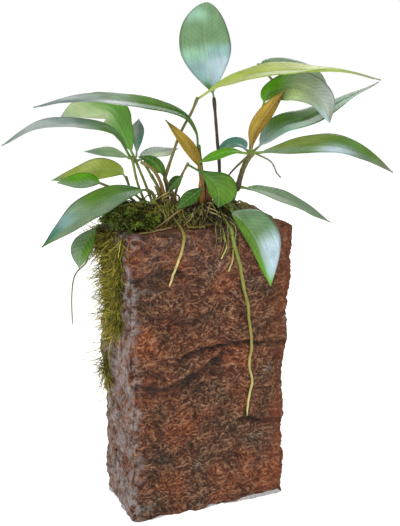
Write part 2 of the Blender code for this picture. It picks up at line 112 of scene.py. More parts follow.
# route: from the neck to the tip; face: which way the upper side looks, at the neck and at the tip;
# peak: where along its length the blade is widest; fold: how far the two halves rise, in degrees;
# tones: pairs along the blade, one for each half, first the half on the left of somebody who looks
# from the neck to the tip with the upper side up; full and point: how bluntly a blade narrows towards its
# neck and towards its tip; uneven: how much wider its right half is than its left, as a share.
Leaf = namedtuple("Leaf", "name route width peak face fold kind tones full point uneven",
                  defaults=(0.8, 1.05, 0.0))
LEAVES = (
    Leaf("crown", ((14, 7, 218), (10, 5, 236), (7, 3, 252), (9, 5, 267)), 27, 0.55,
         ((-0.5, -0.8, 0.2), (-0.5, -0.8, 0.2)), 10, "young",
         ((SHADE, DEEP), (DEEP, MIST_HIGHLIGHT), (MIST_HIGHLIGHT, FROST_HIGHLIGHT), (MIST_HIGHLIGHT, FROST_HIGHLIGHT), (MINT, MIST_HIGHLIGHT), (REED, REED), (REED, REED),
          (MINT, REED), (REED, REED)), 0.95, 0.6),
    Leaf("arch_right", ((4, 5, 219), (13, -5, 226.5), (29, -19, 232.5), (47, -31, 233.5),
                        (62, -44, 233.5), (75, -56, 229.5)), 20, 0.5,
         ((-0.5, -0.4, 0.7), (0.3, 0.0, 1.0)), 8, "young",
         ((LIME, LIME), (LIME, YELLOW_LIME), (YELLOW_LIME, LIME), (YELLOW_LIME, LIME), (TAUPE, TAUPE)),
         1.2, 1.5),
    Leaf("back_right", ((39, 7, 236), (54, 4, 234), (67, -2, 230), (75, -7, 222)), 19, 0.5,
         ((-0.2, -0.5, 0.8), (0.1, -0.4, 0.9)), 4, "green",
         ((LEAF, LEAF), (SAGE, LEAF), (SAGE, SAGE), (SAGE, SAGE)), 0.5, 0.7),
    Leaf("broad_right", ((34, -10, 215), (36.5, -13, 222.5), (46.5, -23, 225), (55, -33, 219),
                         (58.5, -37, 208)), 22, 0.55, ((-0.5, -0.6, 0.6), (0.2, -0.7, 0.6)), 8, "green",
         ((FRESH, FRESH), (FRESH, LEAF), (PALE_SAGE, PALE_VEIN_AND_BACKLIGHT), (SILVER_SHEEN, PALE_SAGE), (TAUPE, FROST_HIGHLIGHT)), 0.6, 0.9),
    Leaf("gold_right", ((27, -11.5, 192), (28.5, -13.5, 203), (32.5, -18.5, 212), (39, -25.5, 224)), 9.5, 0.5,
         ((-0.8, -0.5, 0.2), (-0.6, -0.6, 0.5)), 15, "golden",
         ((OLD_GOLD, OLD_GOLD), (GOLD, OLD_GOLD), (GOLD, OLD_GOLD), (OLD_GOLD, UMBER))),
    Leaf("rising_right", ((30, -10, 192.5), (45, -9, 203.5), (62, -10, 207.5), (83, -8, 216),
                          (105, -9, 226)), 21, 0.42, ((-0.4, -0.5, 0.8), (-0.2, 0.2, 0.9)), 10, "green",
         ((FROST_HIGHLIGHT, FROST_HIGHLIGHT), (LEAF, MINT), (LEAF, LEAF), (REED, MINT), (TAUPE, TAUPE))),
    Leaf("long_right", ((28.5, -13.5, 191.5), (47, -28, 195.5), (60, -41, 196.5), (70, -53, 192.5),
                        (80, -63, 185)), 19, 0.5, ((-0.2, -0.4, 0.9), (0.3, -0.7, 0.7)), 8, "green",
         ((SAGE, SAGE), (OLIVE_GREEN, SAGE), (OLIVE_GREEN, LEAF), (LEAF, FROST_HIGHLIGHT), (LEAF, REED),
          (TAUPE, TAUPE))),
    Leaf("low_right", ((25.3, -4, 172.5), (38, -6, 169.5), (57, -8, 162), (78, -9, 150)), 15, 0.45,
         ((-0.1, -0.3, 1.0), (0.3, -0.5, 0.8)), 6, "green",
         ((LEAF, SAGE), (SAGE, PALE_SAGE), (SAGE, SAGE), (SLATE, SAGE))),
    Leaf("drooping_front", ((14, -16, 163), (16, -29, 158), (21, -35, 147), (29, -33, 125)), 18, 0.4,
         ((-0.1, -0.7, 0.7), (-0.1, -1.0, 0.1)), 8, "green",
         ((SAGE, SAGE), (REED, LEAF), (REED, LEAF), (FROST_HIGHLIGHT, LEAF), (FROST_HIGHLIGHT, FRESH), (FRESH, FRESH)),
         0.6, 0.95, -0.45),
    Leaf("centre_front", ((-5, -4, 186), (0, -13, 182), (5, -19, 175), (4, -22, 166)), 16, 0.7,
         ((0.0, -0.9, 0.5), (0.0, -1.0, 0.1)), 12, "green",
         ((DEEP, DEEP), (DEEP, DEEP), (DEEP, LEAF), (LEAF, LEAF), (DEEP, DEEP)), 1.35, 1.0, -0.25),
    Leaf("gold_left", ((1.5, -4, 184), (-1.5, -1, 191), (-6.5, 3, 199), (-12.5, 9, 208)), 8.5, 0.35,
         ((0.3, -0.9, 0.3), (0.1, -0.8, 0.5)), 15, "golden",
         ((OLD_GOLD, OLD_GOLD), (GOLD, OLD_GOLD), (GOLD, GOLD), (OLD_GOLD, UMBER))),
    Leaf("long_left", ((3.5, 3, 194), (2.5, 3.5, 202), (-4.5, 4, 210.5), (-19, 8, 215.5), (-43, 10, 219),
                       (-62, 13, 219), (-80, 15, 216)), 15, 0.55,
         ((0.3, -0.6, 0.8), (-0.3, -0.1, 1.0)), 8, "green",
         ((DEEP, DEEP), (DEEP, DEEP), (DEEP, LEAF), (SILVER_SHEEN, SAGE), (SLATE, SILVER_SHEEN), (SLATE, SLATE))),
    Leaf("broad_left", ((-27, 18.5, 188.5), (-32, 24, 203.5), (-38, 27, 213), (-50, 36, 212), (-61, 45, 206)),
         21, 0.5, ((0.7, 0.6, 0.3), (0.1, 0.5, 0.9)), 6, "green",
         ((FRESH, FRESH), (FRESH, FRESH), (FRESH, PALE_VEIN_AND_BACKLIGHT), (PALE_VEIN_AND_BACKLIGHT, PALE_VEIN_AND_BACKLIGHT), (SLATE, SLATE))),
    Leaf("sweeping_left", ((-30, 15, 189), (-37, 15, 200.5), (-49, 15, 205.5), (-66, 14, 207.5),
                           (-81, 14, 205.5), (-97, 13, 198)), 15, 0.5,
         ((0.3, -0.4, 0.9), (-0.4, -0.1, 0.9)), 8, "green",
         ((DEEP, DEEP), (LEAF, SAGE), (SILVER_SHEEN, SLATE), (SILVER_SHEEN, SILVER_SHEEN), (SLATE, SLATE))),
    Leaf("small_left", ((-31, 13, 188.5), (-39, 13, 193.5), (-47, 13, 194), (-55, 14, 193)), 11, 0.5,
         ((-0.1, -0.4, 0.9), (-0.2, -0.3, 0.9)), -20, "green",
         ((SAGE, SAGE), (SAGE, PALE_VEIN_AND_BACKLIGHT), (SAGE, PALE_SAGE), (SLATE, SAGE))),
    Leaf("upright_left", ((-25.5, 19, 188.5), (-24, 21.5, 195), (-22.5, 25, 201.5), (-20, 30, 207)), 7, 0.6,
         ((-0.4, -0.9, 0.1), (0.0, -0.7, 0.7)), 8, "green",
         ((TEAL, SLATE), (SLATE, TEAL), (SILVER_SHEEN, SLATE), (SLATE, SLATE))),
    Leaf("pale_left", ((-25, 18.5, 186.5), (-12, 27, 188.5), (-4, 30, 189), (3, 31, 190)), 12, 0.5,
         ((-0.3, -0.4, 0.8), (-0.3, -0.4, 0.8)), 6, "young",
         ((PALE_SAGE, PALE_SAGE), (PALE_SAGE, PALE_VEIN_AND_BACKLIGHT), (SILVER_SHEEN, PALE_VEIN_AND_BACKLIGHT), (SILVER_SHEEN, SILVER_SHEEN))),
    Leaf("curled_left", ((-15, 5, 178), (-17, 4, 182.5), (-22, 5, 187.5), (-28, 8, 190)), 7, 0.5,
         ((-0.8, -0.3, 0.5), (-0.2, -0.5, 0.8)), 8, "green",
         ((LEAF, DEEP), (LEAF, DEEP), (DEEP, DEEP), (SHADE, DEEP))),
    Leaf("mid_left_upper", ((-31, 21, 177), (-34, 24, 180.5), (-43, 31, 180.5), (-53, 38, 177.5),
                            (-65, 47, 174)), 16, 0.45, ((-0.8, -0.3, 0.5), (-0.3, -0.4, 0.9)), 10, "young",
         ((OLIVE_GREEN, LIME), (LIME, LIME), (LIME, YELLOW_LIME), (LIME, LIME), (SAGE, SAGE))),
    Leaf("mid_left_lower", ((-44, 21, 175), (-50, 21, 176.5), (-58, 21, 176), (-68, 22, 176.5)), 12, 0.45,
         ((0.0, -0.6, 0.8), (-0.4, -0.4, 0.8)), 14, "green",
         ((LEAF, FRESH), (SAGE, FRESH), (SAGE, FRESH), (SAGE, SAGE))),
    Leaf("low_left", ((-24, 6, 173), (-40, 4, 171.5), (-57, 0, 165), (-72, -5, 157), (-84, -8, 150)),
         22, 0.45, ((-0.3, -0.4, 0.9), (-0.4, -0.3, 0.9)), 8, "green",
         ((LEAF, DEEP), (SAGE, DEEP), (REED, LEAF), (SAGE, LEAF), (SAGE, SAGE), (SAGE, MIST_HIGHLIGHT), (SAGE, TEAL),
          (DEEP, DEEP))),
    Leaf("hanging_left", ((-50, 10.5, 155), (-55.5, 8, 150), (-60.5, 6, 143), (-62, 6, 134)), 12, 0.55,
         ((-0.8, -0.5, 0.4), (-0.6, -0.8, 0.0)), 6, "green",
         ((SAGE, SAGE), (LEAF, SAGE), (LEAF, SAGE), (SAGE, SAGE))),
    Leaf("small_centre", ((-8, -4, 180), (-12, -4.5, 178), (-16.5, -4.5, 173)), 6, 0.5,
         ((0.2, -0.9, 0.3), (0.2, -0.9, 0.3)), 8, "green",
         ((DEEP, DEEP), (DEEP, SHADE), (SHADE, SHADE))),
    Leaf("low_centre", ((2.5, -6, 174), (-4, -7, 170), (-13, -8, 164)), 8, 0.5,
         ((0.0, -0.6, 0.8), (0.0, -0.6, 0.8)), 8, "green",
         ((DEEP, SHADE), (DEEP, DEEP), (DEEP, DEEP))),
    Leaf("bright_centre", ((24.5, -12.5, 191.5), (15, -13.5, 193), (7, -11.5, 190.5), (-1, -9, 187.5)),
         7.5, 0.6, ((-0.2, -0.5, 0.8), (-0.4, -0.4, 0.8)), 8, "green",
         ((OLIVE_GREEN, FRESH), (FRESH, FRESH), (FRESH, FRESH), (FRESH, LEAF))),
    Leaf("blue_centre", ((26.5, -7.5, 192.5), (27, 1.5, 194.5), (24, 10, 193), (18, 16, 186)), 10, 0.5,
         ((-0.2, -0.5, 0.8), (-0.5, -0.4, 0.6)), 8, "green",
         ((TEAL, TEAL), (TEAL, TEAL), (SAGE, TEAL), (SLATE, SLATE))),
)
BLADE_END = 0.35                # half the width of a blade's two ends
BLADE_NECK = 0.05               # share of a blade's length that is still as thin as its stalk
BLADE_EDGE = 0.45               # the margin's thickness, as a share of the middle's
VEIN_SLANT = 0.8                # how far a side vein runs towards the tip for each mm outwards

# --- Stems, leaf stalks and the rhizome -------------------------------------------------------------
Tube = namedtuple("Tube", "name route radii tones")
BARK = "#3E2C1E"
DARK_BARK = "#2A1D15"
STALK = "#6B6A36"
OLIVE = "#77723A"
GREEN_STALK = "#6F8636"
RUST = "#8E5A22"
STEMS = (
    Tube("stem_right_lower", ((19, -3, 162), (21, -3, 169), (23, -4, 173.5)), (2.2, 1.6), (DARK_BARK, BARK)),
    Tube("stem_right_upper", ((23, -4, 172), (25, -7, 183), (27.5, -11.5, 191.5)), (1.3, 1.5),
         (BARK, OLIVE)),
    Tube("stem_left_back", ((-17, 13, 159), (-22, 15, 174), (-27, 17.5, 188)), (0.8, 0.7),
         (OLIVE, GREEN_STALK)),
    Tube("stem_left_front", ((-22, 10, 160), (-27, 13, 175), (-29.5, 14, 188.5)), (0.7, 0.7),
         (OLIVE, GREEN_STALK)),
    Tube("stem_middle_back", ((-10.5, 10, 159), (-12, 9, 171), (-14.5, 6, 178)), (1.0, 0.8),
         (BARK, OLIVE)),
    Tube("stem_middle_front", ((-14, 4, 162), (-18, 2, 176), (-23, 1, 184), (-28, 4.5, 187.5)), (1.2, 0.7),
         (RUST, OLIVE)),
    Tube("stalk_crown", ((15, 5, 160), (17, 6, 179), (16, 7, 197), (14, 7, 219)), (1.0, 0.8), (BARK, BARK)),
    Tube("stalk_arch_right", ((-14, 7, 178), (-6, 9, 197), (-3, 8, 204), (1, 6, 212), (4, 5, 219.5)),
         (0.8, 0.7), (OLIVE, STALK)),
    Tube("stalk_long_left", ((7, 6, 160), (6, 4, 179), (3.6, 3, 195)), (1.0, 0.8), (BARK, DEEP)),
    Tube("stalk_gold_left", ((5, 0, 161), (3, -3, 175), (1.5, -4, 185)), (1.6, 1.1), (RUST, OLD_GOLD)),
    Tube("stalk_centre_front", ((-13, 1, 161), (-9, -1, 177), (-5, -4, 187)), (0.8, 0.6), (BARK, OLIVE)),
    Tube("stalk_mid_left_upper", ((-20, 11, 161), (-28, 19, 170), (-31, 21, 178)), (0.8, 0.7),
         (OLIVE, STALK)),
    Tube("stalk_mid_left_lower", ((-24, 11, 161), (-34, 17, 170), (-45, 21, 175)), (0.8, 0.6),
         (OLIVE, STALK)),
    Tube("stalk_low_left", ((-19, 6, 163), (-21, 6, 170), (-25, 6, 173)), (1.1, 0.9), (OLIVE, STALK)),
    Tube("stalk_drooping_front", ((16, -5, 161), (14.5, -12, 165), (14, -17, 163)), (1.1, 0.9),
         (OLIVE, GREEN_STALK)),
    Tube("stalk_back_right", ((28.5, -8, 191), (31.5, -3.5, 204), (37, -5, 212), (43, -4, 220), (45, 0, 227),
                              (41, 6, 233.5), (40, 7, 236)), (0.7, 0.6), (OLIVE, STALK)),
)
RHIZOME = Tube("rhizome", ((-21, 7, 161), (-12, 5, 161.5), (0, -3, 161.5), (11, -2, 161.5), (23, -2, 161)),
               (4.0, 3.6), (DARK_BARK, BARK))
WOODY_STEM = "stem_right_lower"
# Where several leaves spring from one stem: the knot's centre, its radius and the leaves.
KNOTS = (
    (Vector((-28, 16, 187.6)), 1.3,
     ("broad_left", "sweeping_left", "small_left", "upright_left", "pale_left")),
    (Vector((27.3, -11, 191.2)), 1.8,
     ("gold_right", "rising_right", "long_right", "bright_centre", "blue_centre")),
    (Vector((23.4, -4, 172.6)), 1.4, ("low_right",)),
)
# The papery sheaths that stand round the stalks' feet: the route, the radius at the foot and the tones.
SHEATHS = (
    (((3, 1, 160), (2.5, -2.5, 168), (1.5, -4, 178)), 2.4, (RUST, "#B07A34")),
    (((7, 2, 160), (8, -1, 167), (6, -2.5, 175)), 2.2, (DARK_BARK, RUST)),
    (((0, -1, 160), (-2, -4, 165), (-2.5, -5, 171)), 2.0, (UMBER, RUST)),
    (((-10, 4, 160), (-11, 2, 168), (-14, 1, 176)), 1.9, (UMBER, OLIVE)),
    (((12, 0, 160), (13, -4, 164), (12, -6, 170)), 2.0, (UMBER, RUST)),
    (((18, 0, 160), (17, -3, 168), (18.5, -4.5, 175)), 1.8, (DARK_BARK, UMBER)),
    (((-17, 5, 161), (-18, 4, 169), (-21, 4, 175)), 1.6, (DARK_BARK, OLIVE)),
    (((5, 4, 160), (9, 6, 170), (8, 6, 180)), 1.8, (DARK_BARK, BARK)),
    (((-25, 9, 187), (-20, 5, 176), (-14, 3, 162)), 0.8, (GREEN_STALK, OLIVE)),
    (((-15.5, 5.5, 181), (-12, 5, 172), (-11, 4, 162)), 0.9, (OLIVE, BARK)),
    (((-21, 9, 180), (-17, 7, 172), (-13, 5, 162)), 1.0, (OLIVE_GREEN, RUST)),
    (((27, -10.5, 190.5), (18, -7.5, 181.5), (13, -4, 172)), 0.75, (OLIVE, DARK_BARK)),
)

# --- Roots: points along the stone's skin, by the face that they lie on --------------------------
ROOT_REACH = 1.5
ROOT_OLIVE = "#8A8236"
ROOT_CREAM = "#C9BE7C"
ROOT_TAN = "#A08A58"
Root = namedtuple("Root", "name face route radii tones")
ROOTS = (
    Root("root_long", "front", ((10, 152), (14, 137), (18, 121), (21, 104), (22, 92), (21, 80), (23, 70),
                                (21, 59), (21, 50)), (1.0, 0.6), (OLIVE_GREEN, ROOT_OLIVE, ROOT_CREAM)),
    Root("root_short", "front", ((-16, 152), (-19, 141), (-24, 128)), (0.8, 0.5),
         (ROOT_OLIVE, ROOT_CREAM, ROOT_CREAM)),
    Root("root_side_left", "front", ((6, 151), (7, 146), (4, 140)), (0.5, 0.4), (ROOT_OLIVE, ROOT_CREAM)),
    Root("root_side_middle", "front", ((11, 143), (10, 138), (8, 133)), (0.5, 0.4),
         (ROOT_OLIVE, ROOT_CREAM)),
    Root("root_top_left", "top", ((-18, -13), (-27, -19), (-38, -20)), (0.6, 0.4), (ROOT_TAN, OLIVE)),
    Root("root_top_right", "top", ((9, -14), (-1, -16), (-10, -15)), (0.7, 0.5), (OLIVE, ROOT_OLIVE)),
    Root("root_hanging", "air", ((-53, 16, 142), (-55, 16, 135), (-57, 17, 132), (-60, 18, 129),
                                 (-62, 19, 124), (-63, 20, 113), (-63, 20, 99)), (0.5, 0.35),
         (OLIVE, TAUPE)),
    Root("root_tendril", "air", ((29, -14, 191), (34, -19, 188), (36, -20.5, 185), (37, -21.5, 182),
                                 (39, -23, 179)), (0.5, 0.4), (STALK, TAUPE, "#5E5648")),
)

# The fine roots: rings along one, the curls' middle, and how far out they reach over the stone's top.
TANGLE_SEED = 5
TANGLE_STEPS = 20
CURLS_CENTRE = Vector((-17.0, 3.0, 165.0))
TOP_REACH = Vector((41.0, 21.0))
# Some fine roots hang over the front's upper edge, around these places along it.
FRINGE_X = (10.0, 7.0, 9.0)
FRINGE_SHARE = 0.09
# Their colours, with the share of each among the old and among the young ones.
TANGLE_TONES = ((ROOT_OLIVE, 0.26, 0.5), (ROOT_TAN, 0.18, 0.05), (BARK, 0.22, 0.0), (OLIVE_GREEN, 0.12, 0.3),
                (DARK_BARK, 0.16, 0.0), (ROOT_CREAM, 0.06, 0.15))
# Where rays that look for the stone start: above it, before its front and beside its left face.
ABOVE = 250.0
BEFORE = -100.0
BESIDE = -100.0

# --- Moss ----------------------------------------------------------------------------------------
CUSHION_CENTRE = Vector((-37.0, -4.0, 158.5))
CUSHION_RADII = Vector((12.0, 15.0, 10.0))
CURTAIN_Y = (-19.0, 20.0)
CURTAIN_Z = (154.5, 92.0)
CURTAIN_NARROWING = 0.5
# Loose hairs: from where they spring, as (y, z) on the stone's left face, how far around, and their share.
HAIR_SPOTS = (((17.0, 150.0), (5.0, 5.0), 0.45), ((16.0, 72.0), (5.0, 9.0), 0.35),
              ((8.0, 100.0), (9.0, 14.0), 0.2))
HAIR_SHARE = 0.12
CLUMP_LUMPS = 2.6               # how finely the clump's surface is lumped
TUFT = 14                       # strands in each frond-like tuft of the clump
MOSS_RINGS = 6
MOSS_SEED = 21


def hex_colour(code):
    """A linear RGBA colour from a written #RRGGBB one."""
    channels = [int(code[i:i + 2], 16) / 255 for i in (1, 3, 5)]
    linear = [c / 12.92 if c <= 0.04045 else ((c + 0.055) / 1.055) ** 2.4 for c in channels]
    return (*linear, 1.0)


def per_mm(size):
    """The scale of a texture on Object coordinates whose features are this many millimetres."""
    return 1 / (size * MM)


def colour_property(name, description, code):
    """A colour that a user would change."""
    return bpy.props.FloatVectorProperty(name=name, description=description, default=hex_colour(code),
                                         size=4, subtype="COLOR", min=0, max=1)


def count_property(name, description, default, low=0, high=10000):
    """A whole number that a user would change."""
    return bpy.props.IntProperty(name=name, description=description, default=default, min=low, max=high)


def length_property(name, description, millimetres):
    """A length that a user would change, kept in metres."""
    return bpy.props.FloatProperty(name=name, description=description, default=millimetres * MM, min=0,
                                   unit="LENGTH", precision=5)


# --- Settings --------------------------------------------------------------------------------------
class StoneSettings(bpy.types.PropertyGroup):
    """Sizes and colours of the stone."""
    cuts: count_property("Cuts", "How finely each cell of the block is cut", 8, 1, 9)
    rounding: length_property("Edge rounding", "How far the hewn edges are worn round", 2.2)
    fibre: length_property("Fibre relief", "How far the stone's fibrous ridges stand out", 0.9)
    lump: length_property("Lumps", "How far the lumps between the beds stand out", 1.1)
    # Painted shade: this colour is put into the stone's low places and between its strokes.
    hollow_shade: colour_property("Hollows", "Colour of the deepest hollows", "#1E0F0A")
    dusky: colour_property("Dusky body", "Colour of the stone's cooler zones", "#4A3322")
    body: colour_property("Body", "Main colour of the stone", "#5E3521")
    warm: colour_property("Iron stain", "Colour of the rusty zones", "#80401F")
    # The ridges' colour is the pale fibres' own tan and a painted highlight on the high threads.
    ridge_tan_and_highlight: colour_property("Ridges", "Colour of the worn fibrous ridges", "#B08968")
    # This grey is partly the stone's own mauve-grey zones and partly a painted cool side light on the left
    # face.
    grey_and_sidelight: colour_property("Grey bloom", "Colour of the weathered left face", "#948986")


class LeafSettings(bpy.types.PropertyGroup):
    """Sizes of the leaf blades."""
    thickness: length_property("Thickness", "Thickness of a blade along its midrib", 0.7)
    wave: length_property("Margin wave", "How far a blade's margins wave", 0.7)
    midrib: length_property("Midrib", "Radius of the rib under a blade at its neck", 0.75)
    across: count_property("Cells across", "Cells across a blade", 16, 4)
    along: count_property("Cells along", "Cells along a blade", 56, 8)
    vein: length_property("Vein spacing", "Distance between side veins", 2.6)


class StemSettings(bpy.types.PropertyGroup):
    """Sizes of the stems and leaf stalks."""
    sides: count_property("Sides", "Sides of a stalk", 12, 4)
    rings: count_property("Rings", "Rings along a stalk", 33, 4)
    knobs: bpy.props.FloatProperty(name="Leaf scars", description="How far old leaf scars stand out, as a "
                                   "share of the rhizome's radius", default=0.14, min=0, max=0.5,
                                   subtype="FACTOR")


class RootSettings(bpy.types.PropertyGroup):
    """Sizes of the roots."""
    rings: count_property("Rings", "Rings along a root", 49, 4)
    tangle: count_property("Fine roots", "Fine roots over the rhizome", 280)
    curls: count_property("Curls", "Curly roots at the rhizome's left end", 34)
    fine: length_property("Fine root", "Radius of a fine root", 0.32)


class MossSettings(bpy.types.PropertyGroup):
    """Sizes and colours of the moss."""
    cushion: count_property("Cushion strands", "Strands of the clump", 3800)
    curtain: count_property("Curtain strands", "Strands of the hanging moss", 4200)
    strand: length_property("Strand radius", "Radius of a strand of moss", 0.2)
    dark: colour_property("Dark moss", "Colour of the clump's old growth", "#3A3C10")
    green: colour_property("Green moss", "Colour of the clump's young tips", "#718B28")
    olive: colour_property("Olive moss", "Main colour of the hanging moss", "#8A8026")
    straw: colour_property("Straw moss", "Colour of the hanging moss's dry tips", "#BFAF50")


class StageSettings(bpy.types.PropertyGroup):
    """The floor, the lights and the camera."""
    floor: colour_property("Floor", "Colour of the floor", "#EDEDEB")
    sky: bpy.props.FloatProperty(name="Sky", description="Strength of the sky overhead", default=0.35,
                                 min=0)
    glow: bpy.props.FloatProperty(name="Floor glow", description="How far the lit floor shines by itself",
                                  default=0.85, min=0)
    key: bpy.props.FloatProperty(name="Key light", description="Power of the large soft light",
                                 default=7.0, min=0, unit="POWER")
    rim: bpy.props.FloatProperty(name="Back light", description="Power of the light behind", default=3.0,
                                 min=0, unit="POWER")
    lens: bpy.props.FloatProperty(name="Lens", description="Focal length of the camera, in millimetres",
                                  default=61.2, min=1)
    eye: bpy.props.FloatVectorProperty(name="Camera", description="Where the camera stands", size=3,
                                       default=(-0.1759, -0.4310, 0.2491), subtype="TRANSLATION")
    target: bpy.props.FloatVectorProperty(name="Target", description="The point the camera looks at", size=3,
                                          default=(0.0027, -0.0011, 0.1322), subtype="TRANSLATION")


# --- Making meshes and materials ---------------------------------------------------------------------
def result_of(node):
    """The output that a node is used for: a Mix's colour, and any other node's first one."""
    return node.outputs[2 if node.bl_idname == "ShaderNodeMix" else 0]


def add_node(tree, kind, inputs=None, stops=None, **settings):
    """Add a shader node with its settings, its colour stops, and its inputs as values, sockets or nodes."""
    node = tree.nodes.new("ShaderNode" + kind)
    for key, value in settings.items():
        setattr(node, key, value)
    for index, (position, colour) in enumerate(stops or ()):
        elements = node.color_ramp.elements
        stop = elements[index] if index < 2 else elements.new(position)
        stop.position = position
        stop.color = colour
    for key, value in (inputs or {}).items():
        if isinstance(value, bpy.types.Node):
            value = result_of(value)
        if isinstance(value, bpy.types.NodeSocket):
            tree.links.new(value, node.inputs[key])
        else:
            node.inputs[key].default_value = value
    return node


def new_material(name, roughness=0.5, coat=0.0, coat_roughness=0.3, specular=0.5):
    """A Principled material with its constant gloss, its node tree and its shader."""
    made = bpy.data.materials.new(name)
    made.use_nodes = True
    shader = made.node_tree.nodes["Principled BSDF"]
    shader.inputs["Roughness"].default_value = roughness
    shader.inputs["Coat Weight"].default_value = coat
    shader.inputs["Coat Roughness"].default_value = coat_roughness
    shader.inputs["Specular IOR Level"].default_value = specular
    return made, made.node_tree, shader


def mottle(tree, place, scale, detail, low, high):
    """A noise over the place, and a factor from low to high that follows it."""
    cloud = add_node(tree, "TexNoise", {"Vector": place, "Scale": scale, "Detail": detail})
    factor = add_node(tree, "MapRange", {"Value": cloud, "From Min": 0.3, "From Max": 0.7, "To Min": low,
                                         "To Max": high})
    return cloud, factor


def dress(tree, shader, colour, *bumps):
    """Give a shader its colour, and its bumps as (height, strength, distance in mm), one on another."""
    tree.links.new(result_of(colour), shader.inputs["Base Color"])
    below = {}
    for height, strength, distance in bumps:
        bump = add_node(tree, "Bump", {"Height": height, "Strength": strength, "Distance": distance * MM,
                                       **below})
        below = {"Normal": bump}
    tree.links.new(result_of(bump), shader.inputs["Normal"])


def add_piece(name, mesh, node, slot, *materials):
    """A finished piece: it rides on the body, stands for its CAD node and takes the materials it is given.
    The slot is not used.
    """
    piece = bpy.data.objects.new(name, mesh)
    for made in materials:
        mesh.materials.append(made)
    bpy.context.scene.collection.objects.link(piece)
    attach(piece, BODY)
    if node:
        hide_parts(node)
    return piece


def finish_mesh(name, bm, smooth=True):
    """A mesh in metres from a bmesh in millimetres."""
    bmesh.ops.scale(bm, vec=(MM, MM, MM), verts=bm.verts)
    mesh = bpy.data.meshes.new(name)
    bm.to_mesh(mesh)
    bm.free()
    if smooth:
        mesh.shade_smooth()
    return mesh


def smooth_route(points, steps):
    """A smooth curve through the points, read at even distances: steps + 1 places."""
    points = [Vector(p) for p in points]
    ends = [2 * points[0] - points[1], *points, 2 * points[-1] - points[-2]]
    dense = [points[0]]
    for a, b, c, d in zip(ends, ends[1:], ends[2:], ends[3:]):
        for k in range(1, 13):
            t = k / 12
            bend = 2 * b + (c - a) * t + (2 * a - 5 * b + 4 * c - d) * t ** 2
            dense.append((bend + (3 * b - a - 3 * c + d) * t ** 3) / 2)
    travelled = [0.0]
    for p, q in zip(dense, dense[1:]):
        travelled.append(travelled[-1] + (q - p).length)
    route = []
    k = 0
    for step in range(steps + 1):
        want = travelled[-1] * step / steps
        while k < len(dense) - 2 and travelled[k + 1] < want:
            k += 1
        share = (want - travelled[k]) / (travelled[k + 1] - travelled[k])
        route.append(dense[k].lerp(dense[k + 1], share))
    return route


def blend_tones(codes, rings):
    """Linear colours that run evenly through the written ones, one for each ring."""
    colours = np.array([hex_colour(code)[:3] for code in codes])
    places = np.linspace(0, len(codes) - 1, rings)
    return np.stack([np.interp(places, range(len(codes)), colours[:, i]) for i in range(3)], axis=1)


def set_tones(mesh, tones):
    """Give each point of the mesh its own colour."""
    layer = mesh.attributes.new("tone", "FLOAT_COLOR", "POINT")
    layer.data.foreach_set("color", np.c_[tones, np.ones(len(tones))].ravel())


def tube_mesh(name, routes, radii, tones, sides):
    """Round tapered tubes as one mesh: a disc for each is extruded ring by ring, then set along its route.

    routes is (tubes, rings, 3) and radii (tubes, rings), in mm; tones is (tubes, rings, 3), linear.
    """
    count, rings = radii.shape
    bm = bmesh.new()
    tube_of, ring_of, corner_of = (bm.verts.layers.int.new(key) for key in ("tube", "ring", "corner"))
    for tube in range(count):
        disc = bmesh.ops.create_circle(bm, cap_ends=True, segments=sides, radius=1.0)
        for corner, vert in enumerate(disc["verts"]):
            vert[tube_of] = tube
            vert[corner_of] = corner
    faces = bm.faces[:]
    for ring in range(1, rings):
        faces = bmesh.ops.extrude_discrete_faces(bm, faces=faces)["faces"]
        for face in faces:
            for vert in face.verts:
                vert[ring_of] = ring
    bmesh.ops.holes_fill(bm, edges=[e for e in bm.edges if e.is_boundary], sides=sides)
    mesh = bpy.data.meshes.new(name)
    bm.to_mesh(mesh)
    bm.free()

    size = len(mesh.vertices)
    tube, ring, corner = (np.zeros(size, np.int32) for _ in range(3))
    for key, values in (("tube", tube), ("ring", ring), ("corner", corner)):
        mesh.attributes[key].data.foreach_get("value", values)
    ahead = np.gradient(routes, axis=1)
    ahead /= np.linalg.norm(ahead, axis=2, keepdims=True)
    steady = np.eye(3)[np.abs(ahead).max(axis=1).argmin(axis=1)][:, None, :]
    side = np.cross(ahead, steady)
    side /= np.linalg.norm(side, axis=2, keepdims=True)
    up = np.cross(ahead, side)
    angle = (corner * math.tau / sides)[:, None]
    offset = side[tube, ring] * np.cos(angle) + up[tube, ring] * np.sin(angle)
    places = (routes[tube, ring] + offset * radii[tube, ring][:, None]) * MM
    mesh.vertices.foreach_set("co", places.astype(np.float32).ravel())
    for key in ("tube", "ring", "corner"):
        mesh.attributes.remove(mesh.attributes[key])
    set_tones(mesh, tones[tube, ring])
    bm = bmesh.new()
    bm.from_mesh(mesh)
    bmesh.ops.recalc_face_normals(bm, faces=bm.faces)
    bm.to_mesh(mesh)
    bm.free()
    mesh.shade_smooth()
    return mesh


# --- Stone -----------------------------------------------------------------------------------------
def sliced_block(size, centre, cells):
    """A box cut into cells, so that its skin can be shaped."""
    bm = bmesh.new()
    bmesh.ops.create_cube(bm, size=1.0, matrix=Matrix.Translation(centre) @ Matrix.Diagonal((*size, 1)))
    for axis, count in enumerate(cells):
        normal = Vector([float(axis == i) for i in range(3)])
        for cut in range(1, count):
            place = centre + normal * size[axis] * (cut / count - 0.5)
            everything = bm.verts[:] + bm.edges[:] + bm.faces[:]
            bmesh.ops.bisect_plane(bm, geom=everything, plane_co=place, plane_no=normal)
    return bm


def ripple(point, seed):
    """Broad and small waves of the hewn surface, in mm."""
    return sum(height * noise.noise(point / length + Vector((seed, 0, length)))
               for length, height in STONE_WAVES)


